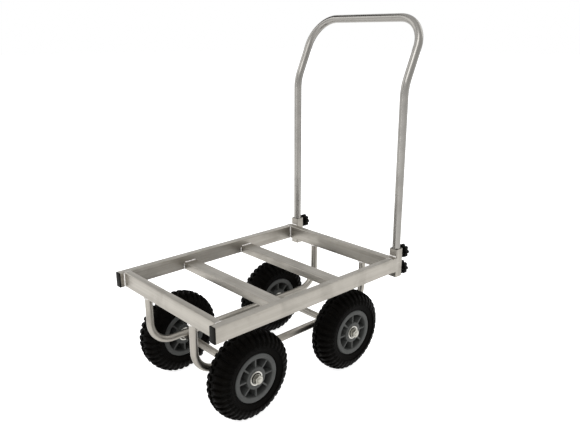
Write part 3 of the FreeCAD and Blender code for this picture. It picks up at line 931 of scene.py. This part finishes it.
@dataclass
class Underframe:
    """The two bent runners and the two axle tubes, with their vents and welds."""

    shop: Workshop
    radius: float = 11.0 * MM
    wall: float = 2.0 * MM
    bend_radius: float = 72.0 * MM
    vent_radius: float = 2.5 * MM
    vent_drop: float = 9.0 * MM
    fillet: float = 2.8 * MM

    def build(self) -> None:
        """Builds and dresses the underframe."""
        for side in Side:
            self.build_runner(side)
        for end in End:
            self.shop.deburr(f"{end.value}_axle_tube", "frame", "bar_across", "frame_aluminium")
        self.build_welds()

    def build_runner(self, side: Side) -> None:
        """Bends one runner and drills the vents at the tops of its legs."""
        low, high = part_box(f"runner_{side.word}")
        x, r = (low.x + high.x) / 2, self.radius
        corners = [Vector((x, low.y + r, high.z)), Vector((x, low.y + r, low.z + r)),
                   Vector((x, high.y - r, low.z + r)), Vector((x, high.y - r, high.z))]
        bm = TubeBender(r, self.wall, arc_steps=24).bend(corners, [self.bend_radius] * 2)
        runner = self.shop.finish(bm, f"runner_{side.word}_finished", "frame", "runner", "frame_aluminium",
                                  (f"runner_{side.word}",))
        self.drill(runner, [Vector((x - r, leg.y, high.z - self.vent_drop)) for leg in (corners[0], corners[3])])

    def drill(self, piece: bpy.types.Object, places: list[Vector]) -> None:
        """Drills round holes along X into a finished piece.

        Args:
            piece: the piece.
            places: the holes' centres on its skin.
        """
        bm = bmesh.new()
        turn = Matrix.Rotation(math.pi / 2, 4, "Y")
        for place in places:
            bmesh.ops.create_cone(bm, cap_ends=True, segments=24, radius1=self.vent_radius, radius2=self.vent_radius,
                                  depth=2 * self.radius - 2 * self.wall, matrix=Matrix.Translation(place) @ turn)
        drill = to_object(bm, "drill")
        cut = piece.modifiers.new("vents", "BOOLEAN")
        cut.operation, cut.object, cut.solver = "DIFFERENCE", drill, "EXACT"
        graph = bpy.context.evaluated_depsgraph_get()
        drilled = bpy.data.meshes.new_from_object(piece.evaluated_get(graph), depsgraph=graph)
        piece.modifiers.remove(cut)
        drilled.set_sharp_from_angle(angle=math.radians(35))
        piece.data = drilled
        bpy.data.objects.remove(drill)

    def build_welds(self) -> None:
        """Lays the beads round the tops of the legs and in the saddles of the axle tubes."""
        torch = WeldTorch(self.fillet, seed=11)
        for side in Side:
            low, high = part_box(f"runner_{side.word}")
            x = (low.x + high.x) / 2
            for y in (low.y + self.radius, high.y - self.radius):
                torch.ring(Vector((x, y, high.z)), Z_AXIS, self.radius + 0.3 * MM)
            for end in End:
                tube_low, tube_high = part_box(f"{end.value}_axle_tube")
                y = (tube_low.y + tube_high.y) / 2
                z = tube_high.z
                for way in (-1, 1):
                    torch.bead(Vector((x + way * 7.6 * MM, y - 7.5 * MM, z + 1.2 * MM)),
                               Vector((x + way * 7.6 * MM, y + 7.5 * MM, z + 1.2 * MM)), 2.5 * MM)
        self.shop.finish(torch.bm, "underframe_welds", "frame", "weld", "frame_aluminium", crease=70.0)


@dataclass
class AxleHardware:
    """Rods with cut threads, nuts, washers, collars and inner races."""

    shop: Workshop
    thread_pitch: float = 2.0 * MM
    thread_depth: float = 0.9 * MM
    thread_length: float = 15.0 * MM
    turn_steps: int = 40
    washer_seat: float = 36.0 * MM
    washer_thickness: float = 2.5 * MM
    washer_radius: float = 14.0 * MM
    washer_bore: float = 8.2 * MM
    washer_edge: float = 0.4 * MM

    def build(self) -> None:
        """Builds and dresses the hardware."""
        self.shop.deburr("axle_nuts", "frame", "zinc", "axle_steel", 0.4 * MM)
        self.build_washers()
        self.shop.deburr("axle_collars", "frame", "turned", "axle_steel", 0.5 * MM)
        self.shop.deburr("bearing_inner_races", "frame", "bearing", "bearing_steel")
        for end in End:
            self.build_rod(end)

    def build_washers(self) -> None:
        """Turns the four washers, their edges just broken."""
        bm = bmesh.new()
        near, far = self.washer_seat, self.washer_seat + self.washer_thickness
        rim, bore, edge = self.washer_radius, self.washer_bore, self.washer_edge
        outline = [(near, bore), (near, rim - edge), (near + edge, rim), (far - edge, rim), (far, rim - edge),
                   (far, bore)]
        for end in End:
            for side in Side:
                low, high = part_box(f"{end.value}_{side.word}_rim")
                turn_outline(bm, [(side.value * along, radius) for along, radius in outline], (low + high) / 2, 48)
        self.shop.finish(bm, "axle_washers_finished", "frame", "zinc", "axle_steel", ("axle_washers",))

    def build_rod(self, end: End) -> None:
        """Turns one axle rod and cuts the threads at its two ends."""
        low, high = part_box(f"{end.value}_axle_rod")
        centre = (low + high) / 2
        half, radius = (high.x - low.x) / 2, (high.z - low.z) / 2
        core, start = radius - self.thread_depth, half - self.thread_length
        bm = bmesh.new()
        outline = [(half, 0.0), (half, 3.2 * MM), (half - 0.3 * MM, core - 1.6 * MM), (half - 1.6 * MM, core),
                   (start, core), (start - 1 * MM, radius)]
        mirrored = [(-along, r) for along, r in reversed(outline)]
        turn_outline(bm, outline + mirrored, centre, self.turn_steps, closed=False)
        for side in Side:
            self.cut_thread(bm, centre, side, start, half, core)
        self.shop.finish(bm, f"{end.value}_axle_rod_finished", "frame", "zinc", "axle_steel",
                         (f"{end.value}_axle_rod",))

    def cut_thread(self, bm: bmesh.types.BMesh, centre: Vector, side: Side, start: float, half: float,
                   core: float) -> None:
        """Winds one thread's ridge round the rod.

        Args:
            bm: the rod's mesh.
            centre: the rod's middle.
            side: the end that gets the thread.
            start: where the thread starts, from the middle.
            half: the rod's half length.
            core: radius at the thread's root.
        """
        turns = (half - start - 2.2 * self.thread_pitch) / self.thread_pitch
        ridge = [(-0.46, -0.1 * MM), (-0.06, self.thread_depth), (0.06, self.thread_depth), (0.46, -0.1 * MM)]
        at = start + 0.9 * self.thread_pitch
        corners = [bm.verts.new(centre + X_AXIS * side.value * (at + along * self.thread_pitch)
                                + Z_AXIS * (core + rise)) for along, rise in ridge]
        face = bm.faces.new(corners)
        step = side.value * self.thread_pitch / self.turn_steps
        bmesh.ops.spin(bm, geom=[face] + list(face.edges) + corners, cent=centre, axis=X_AXIS, dvec=(step, 0, 0),
                       angle=FULL_TURN * turns, steps=int(self.turn_steps * turns), use_merge=False,
                       use_duplicate=False)


@dataclass
class Tyre:
    """A hollow casing with two staggered rows of shoulder blocks and fine ribs on its sidewalls."""

    shop: Workshop
    stem: str
    body: str
    bead_radius: float = 62.0 * MM
    flange_radius: float = 72.0 * MM
    widest_radius: float = 95.0 * MM
    seat: float = 31.5 * MM
    casing_half: float = 39.0 * MM
    casing_top: float = 125.0 * MM
    wall: float = 4.5 * MM
    blocks: int = 38
    block_gap: float = 5.0 * MM
    block_end: float = 40.7 * MM
    block_width: float = 12.8 * MM
    block_round: float = 1.5 * MM
    rib_count: int = 76
    steps: int = 128

    def build(self) -> None:
        """Builds the tyre."""
        low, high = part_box(f"{self.stem}_tyre")
        self.centre = (low + high) / 2
        self.radius = (high.z - low.z) / 2
        self.half = (high.x - low.x) / 2
        bm = bmesh.new()
        turn_outline(bm, self.outline(), self.centre, self.steps)
        for way in (-1, 1):
            self.add_blocks(bm, way)
            self.add_ribs(bm, way)
        self.shop.finish(bm, f"{self.stem}_tyre_finished", self.body, "tread", "tyre_rubber",
                         (f"{self.stem}_tyre",), crease=38.0)

    def crown(self, along: float, half: float, top: float) -> float:
        """Radius of an elliptical crown.

        Args:
            along: distance from the middle plane.
            half: the crown's half width.
            top: its radius in the middle plane.

        Returns:
            The radius there.
        """
        share = min(1.0, abs(along) / half)
        return self.widest_radius + (top - self.widest_radius) * math.sqrt(1 - share ** 2)

    def arc(self, half: float, top: float, steps: int) -> Outline:
        """Half a crown, from its widest point to the middle plane."""
        rise = top - self.widest_radius
        return [(half * math.cos(turn), self.widest_radius + rise * math.sin(turn))
                for turn in (math.pi / 2 * k / steps for k in range(steps + 1))]

    def outline(self) -> Outline:
        """The casing's section: beads, guard rings, sidewalls, crown and the air space."""
        guard = [(0.0, 0.2), (1.7, 1.0), (3.7, 1.6), (4.5, 2.6), (4.8, 4.2), (5.6, 4.9), (5.8, 5.9), (5.2, 6.6),
                 (5.9, 10.0), (6.5, 13.4), (7.1, 13.9), (7.2, 14.9), (6.8, 15.5), (7.2, 18.6)]
        wall = [(self.seat, self.bead_radius)]
        wall += [(self.seat + along * MM, self.flange_radius + rise * MM) for along, rise in guard]
        outer = wall + self.arc(self.casing_half, self.casing_top, 11)
        inner_half, inner_top = self.casing_half - self.wall, self.casing_top - self.wall
        foot = self.seat - 9 * MM
        inner = [(foot, self.bead_radius), (foot, self.bead_radius + 7 * MM),
                 (inner_half - 3 * MM, self.flange_radius + 2 * MM)] + self.arc(inner_half, inner_top, 6)
        return (outer + [(-x, r) for x, r in reversed(outer[:-1])] + [(-x, r) for x, r in inner[:-1]]
                + list(reversed(inner)))

    def add_blocks(self, bm: bmesh.types.BMesh, way: int) -> None:
        """Moulds one row of tread blocks.

        Args:
            bm: the tyre's mesh.
            way: the row's side of the middle plane, -1 or 1.
        """
        part = bmesh.new()
        length = self.block_end - self.block_gap
        bmesh.ops.create_cube(part, size=1.0)
        bmesh.ops.scale(part, vec=(length, self.block_width, 1.0), verts=part.verts[:])
        bmesh.ops.translate(part, vec=(self.block_gap + length / 2, 0, 0), verts=part.verts[:])
        long = [e for e in part.edges if abs(e.verts[0].co.x - e.verts[1].co.x) > length / 2]
        bmesh.ops.subdivide_edges(part, edges=long, cuts=5, use_grid_fill=True)
        tops = {v for v in part.verts if v.co.z > 0}
        for vert in part.verts:
            along = vert.co.x
            waist = 1 - 0.22 * math.exp(-((along - 21 * MM) / (3.5 * MM)) ** 2)
            if vert in tops:
                vert.co.z = min(self.radius, self.crown(along, self.half, self.radius + 1 * MM))
                vert.co.y *= 0.90 * waist
            else:
                vert.co.z = self.crown(along, self.casing_half, self.casing_top) - 3 * MM
                vert.co.y *= waist
        rims = [e for e in part.edges if self.is_block_rim(e, tops)]
        bmesh.ops.bevel(part, geom=rims, offset=self.block_round, offset_type="OFFSET", affect="EDGES",
                        segments=2, profile=0.5, material=-1, clamp_overlap=True)
        place = Matrix.Translation(self.centre) @ Matrix.Rotation(
            math.pi + FULL_TURN / self.blocks * (way + 1) / 4, 4, "X") @ Matrix.Diagonal((way, 1, 1, 1))
        bmesh.ops.transform(part, matrix=place, verts=part.verts[:])
        repeat_round(part, self.centre, self.blocks)
        join(bm, part)

    def is_block_rim(self, edge: bmesh.types.BMEdge, tops: set[bmesh.types.BMVert]) -> bool:
        """Whether an edge runs round a block's top, or down its outer end.

        Args:
            edge: an edge of the block.
            tops: the vertices of its top.

        Returns:
            True for the edges to round.
        """
        on_top = sum(v in tops for v in edge.verts)
        if on_top == 2:
            return sum(all(v in tops for v in f.verts) for f in edge.link_faces) == 1
        return on_top == 1 and min(v.co.x for v in edge.verts) > self.block_end - 0.1 * MM

    def add_ribs(self, bm: bmesh.types.BMesh, way: int) -> None:
        """Moulds the short radial ribs of one sidewall.

        Args:
            bm: the tyre's mesh.
            way: the sidewall's side of the middle plane, -1 or 1.
        """
        part = bmesh.new()
        bmesh.ops.create_cube(part, size=1.0)
        bmesh.ops.scale(part, vec=(3.0 * MM, 3.4 * MM, 14.0 * MM), verts=part.verts[:])
        outer = [e for e in part.edges if all(v.co.x > 0 for v in e.verts)]
        bmesh.ops.bevel(part, geom=outer, offset=0.9 * MM, offset_type="OFFSET", affect="EDGES", segments=1,
                        profile=0.5, material=-1, clamp_overlap=True)
        lean = Matrix.Rotation(-way * math.radians(8), 4, "Y")
        place = (Matrix.Translation(self.centre) @ Matrix.Translation((way * 38.2 * MM, 0, 97.5 * MM)) @ lean
                 @ Matrix.Diagonal((way, 1, 1, 1)))
        bmesh.ops.transform(part, matrix=place, verts=part.verts[:])
        repeat_round(part, self.centre, self.rib_count)
        join(bm, part)


@dataclass
class Wheel:
    """One wheel: tyre, rim, bearings with their seals, and inner tube."""

    shop: Workshop
    end: End
    side: Side
    seal_inner: float = 12.3 * MM
    seal_outer: float = 16.3 * MM
    seal_floor: float = 33.0 * MM
    race_back: float = 23.0 * MM
    race_bore: float = 11.8 * MM
    race_radius: float = 17.5 * MM
    flange_back: float = 34.0 * MM
    flange_bore: float = 16.5 * MM
    flange_radius: float = 21.0 * MM
    edge: float = 0.4 * MM

    def build(self) -> None:
        """Builds and dresses the wheel."""
        stem = f"{self.end.value}_{self.side.word}"
        body = f"{stem}_wheel"
        Tyre(self.shop, stem, body).build()
        self.shop.deburr(f"{stem}_rim", body, "rim", "rim_plastic", 1.2 * MM)
        self.build_races(stem, body)
        self.shop.deburr(f"{stem}_inner_tube", body, "butyl", "tube_rubber")
        self.build_seals(stem, body)

    def build_races(self, stem: str, body: str) -> None:
        """Turns the two outer races, whose flanges stand round a recessed shield."""
        low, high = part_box(f"{stem}_bearing_races")
        centre, half = (low + high) / 2, (high.x - low.x) / 2
        shield = self.seal_floor
        outline = [(self.race_back, self.race_bore), (shield, self.race_bore), (shield, self.flange_bore),
                   (half - 0.3 * MM, self.flange_bore + 0.3 * MM), (half, self.flange_bore + 0.7 * MM),
                   (half, self.flange_radius - self.edge), (half - self.edge, self.flange_radius),
                   (self.flange_back, self.flange_radius), (self.flange_back, self.race_radius),
                   (self.race_back, self.race_radius)]
        bm = bmesh.new()
        for way in (-1, 1):
            turn_outline(bm, [(way * along, radius) for along, radius in outline], centre, 72)
        self.shop.finish(bm, f"{stem}_races_finished", body, "bearing", "bearing_steel",
                         (f"{stem}_bearing_races",))

    def build_seals(self, stem: str, body: str) -> None:
        """Turns the rubber seals that lie on the shields of the two bearings."""
        low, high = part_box(f"{stem}_rim")
        centre = (low + high) / 2
        bm = bmesh.new()
        floor, rise = self.seal_floor, 0.7 * MM
        for way in (-1, 1):
            outline = [(floor, self.seal_inner), (floor + rise, self.seal_inner + 0.3 * MM),
                       (floor + rise, self.seal_inner + 1.2 * MM), (floor + 0.4 * rise, self.seal_inner + 1.6 * MM),
                       (floor + 0.4 * rise, self.seal_outer - 1.2 * MM), (floor + rise, self.seal_outer - 0.8 * MM),
                       (floor + rise, self.seal_outer - 0.3 * MM), (floor, self.seal_outer)]
            turn_outline(bm, [(way * along, radius) for along, radius in outline], centre, 64)
        self.shop.finish(bm, f"{stem}_bearing_seals", body, "seal", "tyre_rubber")


@dataclass
class ClampKnob:
    """A star knob with rounded lobes and a dished face."""

    shop: Workshop
    level: Level
    side: Side
    lobes: int = 8
    lobe_radius: float = 6.0 * MM
    skirt: float = 3.0 * MM
    skirt_radius: float = 11.0 * MM
    bore: float = 4.0 * MM
    edge_round: float = 2.4 * MM
    steps: int = 96

    def build(self) -> None:
        """Builds the knob and dresses its screw."""
        tail = f"{self.level.value}_{self.side.word}"
        body = f"{tail}_clamp"
        low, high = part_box(f"clamp_knob_{tail}")
        centre = (low + high) / 2
        reach = (high.z - low.z) / 2
        depth = high.y - low.y
        bm = bmesh.new()
        turn_outline(bm, self.profile(depth - self.skirt, reach), Vector(), self.steps, closed=False,
                     axis=Z_AXIS, side=X_AXIS)
        for vert in bm.verts:
            away = math.hypot(vert.co.x, vert.co.y)
            lobing = min(1.0, max(0.0, (away - 0.42 * reach) / (0.30 * reach)))
            scale = self.outline_radius(math.atan2(vert.co.y, vert.co.x), reach) / reach
            vert.co.x *= 1 + (scale - 1) * lobing
            vert.co.y *= 1 + (scale - 1) * lobing
        turn_outline(bm, [(-self.skirt, self.bore), (-self.skirt, self.skirt_radius - 0.6 * MM),
                          (-self.skirt + 0.6 * MM, self.skirt_radius), (1 * MM, self.skirt_radius),
                          (1 * MM, self.bore)], Vector(), 48, axis=Z_AXIS, side=X_AXIS)
        lay = Matrix.Translation((centre.x, low.y + self.skirt, centre.z)) @ Matrix.Rotation(-math.pi / 2, 4, "X")
        bmesh.ops.transform(bm, matrix=lay, verts=bm.verts[:])
        self.shop.finish(bm, f"clamp_knob_{tail}_finished", body, "knob", "knob_plastic", (f"clamp_knob_{tail}",))
        self.shop.deburr(f"clamp_screw_{tail}", body, "zinc", "axle_steel")

    def outline_radius(self, angle: float, reach: float) -> float:
        """Radius of the lobed outline.

        Args:
            angle: direction from the knob's axis.
            reach: radius over the lobes.

        Returns:
            The radius there, its hollows rounded out.
        """
        pitch = FULL_TURN / self.lobes
        off = (angle + pitch / 2) % pitch - pitch / 2
        seat = reach - self.lobe_radius
        inside = self.lobe_radius ** 2 - (seat * math.sin(off)) ** 2
        lobe = seat * math.cos(off) + math.sqrt(max(inside, 0.0))
        hollow = seat * 1.045
        return math.log(math.exp(lobe * 1400) + math.exp(hollow * 1400)) / 1400 - 0.02 * MM * abs(off)

    def profile(self, height: float, reach: float) -> Outline:
        """The head's section: a dish with a raised middle, a rounded rim and the inner face.

        Args:
            height: the outer face's height over the inner face.
            reach: radius over the lobes.

        Returns:
            (height, radius) of each corner, from the middle of the face to the middle of the back.
        """
        r = self.edge_round
        face = [(height - 0.65 * MM, 0.0), (height - 0.65 * MM, reach - 12.6 * MM),
                (height - 1.15 * MM, reach - 11.8 * MM), (height - 0.9 * MM, reach - 6.8 * MM),
                (height - 0.2 * MM, reach - 5.6 * MM), (height, reach - 4.8 * MM)]
        turns = [math.pi / 2 * k / 4 for k in range(5)]
        rim = [(height - r + r * math.cos(turn), reach - r + r * math.sin(turn)) for turn in turns]
        back = [(1.4 * MM, reach), (0.4 * MM, reach - 0.4 * MM), (0.0, reach - 1.4 * MM), (0.0, 0.0)]
        return face + rim + back


@dataclass
class PushHandle:
    """The bent handle tube with its sockets, bosses, screws and knobs."""

    shop: Workshop
    radius: float = 12.7 * MM
    wall: float = 1.6 * MM
    kink_height: float = 0.879
    kink_bend: float = 135.0 * MM
    corner_bend: float = 96.0 * MM

    def build(self) -> None:
        """Builds and dresses the handle and what clamps it."""
        self.build_tube()
        self.shop.deburr("clamp_bosses", "frame", "turned", "frame_aluminium", 0.4 * MM)
        for side in Side:
            self.shop.deburr(f"handle_socket_{side.word}", "frame", "bar_up", "frame_aluminium", 0.4 * MM)
            for level in Level:
                ClampKnob(self.shop, level, side).build()
        self.build_welds()

    def build_tube(self) -> None:
        """Bends the handle from one straight tube."""
        low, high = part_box("handle_tube")
        r = self.radius
        side, upright, leaning = high.x - r, low.y + r, high.y - r
        left = [Vector((-side, upright, low.z)), Vector((-side, upright, self.kink_height)),
                Vector((-side, leaning, high.z - r))]
        right = [Vector((-p.x, p.y, p.z)) for p in reversed(left)]
        bends = [self.kink_bend, self.corner_bend, self.corner_bend, self.kink_bend]
        bm = TubeBender(r, self.wall, sides=56, arc_steps=26).bend(left + right, bends)
        self.shop.finish(bm, "handle_tube_finished", "handle", "handle", "handle_aluminium", ("handle_tube",))

    def build_welds(self) -> None:
        """Lays the beads that hold the sockets to the rear beam and the bosses to the sockets."""
        torch = WeldTorch(2.6 * MM, seed=5)
        beam_low, beam_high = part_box("rear_crossbeam")
        for side in Side:
            low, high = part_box(f"handle_socket_{side.word}")
            for x in (low.x, high.x):
                torch.bead(Vector((x, low.y, beam_low.z + 2 * MM)), Vector((x, low.y, beam_high.z - 2 * MM)))
            torch.bead(Vector((low.x + 2 * MM, low.y, beam_high.z)), Vector((high.x - 2 * MM, low.y, beam_high.z)),
                       3.4 * MM)
            torch.bead(Vector((low.x + 3 * MM, low.y, beam_low.z)), Vector((high.x - 3 * MM, low.y, beam_low.z)))
        boss_low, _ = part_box("clamp_bosses")
        for side in Side:
            for level in Level:
                knob_low, knob_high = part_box(f"clamp_knob_{level.value}_{side.word}")
                middle = (knob_low + knob_high) / 2
                torch.ring(Vector((middle.x, boss_low.y, middle.z)), Y_AXIS, 8.2 * MM, 1.5 * MM)
        self.shop.finish(torch.bm, "socket_welds", "frame", "weld", "frame_aluminium", crease=70.0)


@dataclass(frozen=True)
class Panel:
    """A flat studio panel: where its middle stands, its width and height, and what it faces."""

    name: str
    place: tuple[float, float, float]
    width: float
    height: float
    faces: tuple[float, float, float] = (0.0, 0.0, 0.4)

    def matrix(self) -> Matrix:
        """Turns the panel's own plane to face its target, from its place."""
        aim = Vector(self.faces) - Vector(self.place)
        return Matrix.Translation(self.place) @ aim.to_track_quat("Z", "Y").to_matrix().to_4x4()


@dataclass
class Studio:
    """A pale floor, soft lamps, dark flags for the metal to mirror, and the camera."""

    camera_at: tuple[float, float, float] = (1.3519, -1.1859, 1.0332)
    azimuth: float = 47.28
    elevation: float = 16.58
    lens: float = 37.84
    world_strength: float = 0.62
    floor_glow: float = 0.85
    flags: tuple[Panel, ...] = (
        Panel("flag_behind", (-0.35, 1.9, 0.75), 0.9, 1.5, (0.0, 0.3, 0.6)),
        Panel("flag_above", (-1.5, 0.1, 2.4), 1.3, 1.0),
    )
    strips: tuple[tuple[Panel, float], ...] = (
        (Panel("strip_left", (-0.2, -2.1, 0.7), 0.22, 1.4, (0.0, 0.3, 0.5)), 2.2),
    )

    def build(self) -> None:
        """Sets up the studio."""
        self.world()
        self.floor()
        self.camera()
        self.lamp(Panel("key", (0.9, -2.0, 3.4), 2.2, 2.2), 38.0)
        self.lamp(Panel("fill", (-2.6, -1.2, 2.2), 2.4, 2.4), 18.0)
        self.lamp(Panel("back", (0.8, 2.8, 2.6), 2.0, 2.0), 18.0)
        for panel, power in self.strips:
            self.lamp(panel, power)
        for panel in self.flags:
            self.flag(panel)

    def shown_rays(self, g: Graph) -> bpy.types.NodeSocket:
        """1 for the rays that see the background: camera, glossy and transmission rays."""
        path = g.add("LightPath")
        seen = g.math("MAXIMUM", path.outputs["Is Camera Ray"], path.outputs["Is Glossy Ray"])
        return g.math("MAXIMUM", seen, path.outputs["Is Transmission Ray"])

    def world(self) -> None:
        """A white background over softer light."""
        world = bpy.data.worlds.new("studio")
        g = empty_graph(world)
        strength = g.add("MapRange", {"Value": self.shown_rays(g), "To Min": self.world_strength, "To Max": 1.0})
        back = g.add("Background", {"Color": opaque(1, 1, 1), "Strength": strength.outputs["Result"]})
        out = g.add("OutputWorld")
        g.feed(out.inputs["Surface"], back.outputs[0])
        bpy.context.scene.world = world

    def floor(self) -> None:
        """A pale floor that keeps the cart's shadow."""
        floor = self.sheet("floor", 60.0, 60.0, Matrix())
        material = bpy.data.materials.new("studio_floor")
        g = empty_graph(material)
        plain = g.add("BsdfDiffuse", {"Color": opaque(0.82, 0.82, 0.82)})
        strength = g.math("MULTIPLY", self.shown_rays(g), self.floor_glow)
        glow = g.add("Emission", {"Color": opaque(1, 1, 1), "Strength": strength})
        both = g.add("AddShader", {0: plain.outputs[0], 1: glow.outputs[0]})
        g.feed(g.add("OutputMaterial").inputs["Surface"], both.outputs[0])
        floor.data.materials.append(material)

    def sheet(self, name: str, width: float, height: float, place: Matrix) -> bpy.types.Object:
        """A flat rectangle that belongs to the stage.

        Args:
            name: its name.
            width: its width.
            height: its height.
            place: where its middle stands and which way it faces.

        Returns:
            The object.
        """
        bm = bmesh.new()
        bmesh.ops.create_grid(bm, x_segments=1, y_segments=1, size=0.5,
                              matrix=place @ Matrix.Diagonal((width, height, 1, 1)))
        sheet = to_object(bm, name)
        return sheet

    def flag(self, panel: Panel) -> None:
        """Hangs a dark flag that only mirrors see."""
        sheet = self.sheet(panel.name, panel.width, panel.height, panel.matrix())
        material = bpy.data.materials.new(panel.name)
        g = empty_graph(material)
        black = g.add("BsdfDiffuse", {"Color": opaque(0.012, 0.011, 0.010)})
        g.feed(g.add("OutputMaterial").inputs["Surface"], black.outputs[0])
        sheet.data.materials.append(material)
        sheet.visible_camera = sheet.visible_diffuse = sheet.visible_shadow = sheet.visible_transmission = False

    def camera(self) -> None:
        """Sets up the camera."""
        data = bpy.data.cameras.new("camera")
        data.lens, data.sensor_width, data.sensor_fit = self.lens, 36.0, "HORIZONTAL"
        data.clip_start, data.clip_end = 0.05, 100.0
        camera = bpy.data.objects.new("camera", data)
        bpy.context.scene.collection.objects.link(camera)
        a, e = math.radians(self.azimuth), math.radians(self.elevation)
        back = Vector((math.sin(a) * math.cos(e), -math.cos(a) * math.cos(e), math.sin(e)))
        camera.location = self.camera_at
        camera.rotation_mode = "QUATERNION"
        camera.rotation_quaternion = (-back).to_track_quat("-Z", "Y")
        bpy.context.scene.camera = camera

    def lamp(self, panel: Panel, power: float) -> None:
        """Hangs a soft lamp.

        Args:
            panel: its place and size.
            power: watts.
        """
        data = bpy.data.lights.new(panel.name, "AREA")
        data.shape, data.size, data.size_y, data.energy = "RECTANGLE", panel.width, panel.height, power
        lamp = bpy.data.objects.new(panel.name, data)
        bpy.context.scene.collection.objects.link(lamp)
        lamp.location = panel.place
        lamp.rotation_mode = "QUATERNION"
        lamp.rotation_quaternion = (Vector(panel.faces) - Vector(panel.place)).to_track_quat("-Z", "Y")


def main() -> None:
    """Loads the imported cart, dresses it and sets up the studio."""
    logging.basicConfig(level=logging.INFO, format="%(name)s: %(message)s")
    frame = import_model()
    bpy.context.scene.view_settings.view_transform = "Standard"
    shop = Workshop(frame)
    Deck(shop).build()
    Underframe(shop).build()
    AxleHardware(shop).build()
    for end in End:
        for side in Side:
            Wheel(shop, end, side).build()
    PushHandle(shop).build()
    Studio().build()
    LOG.info("%d pieces", shop.pieces)


if __name__ == "__main__":
    main()
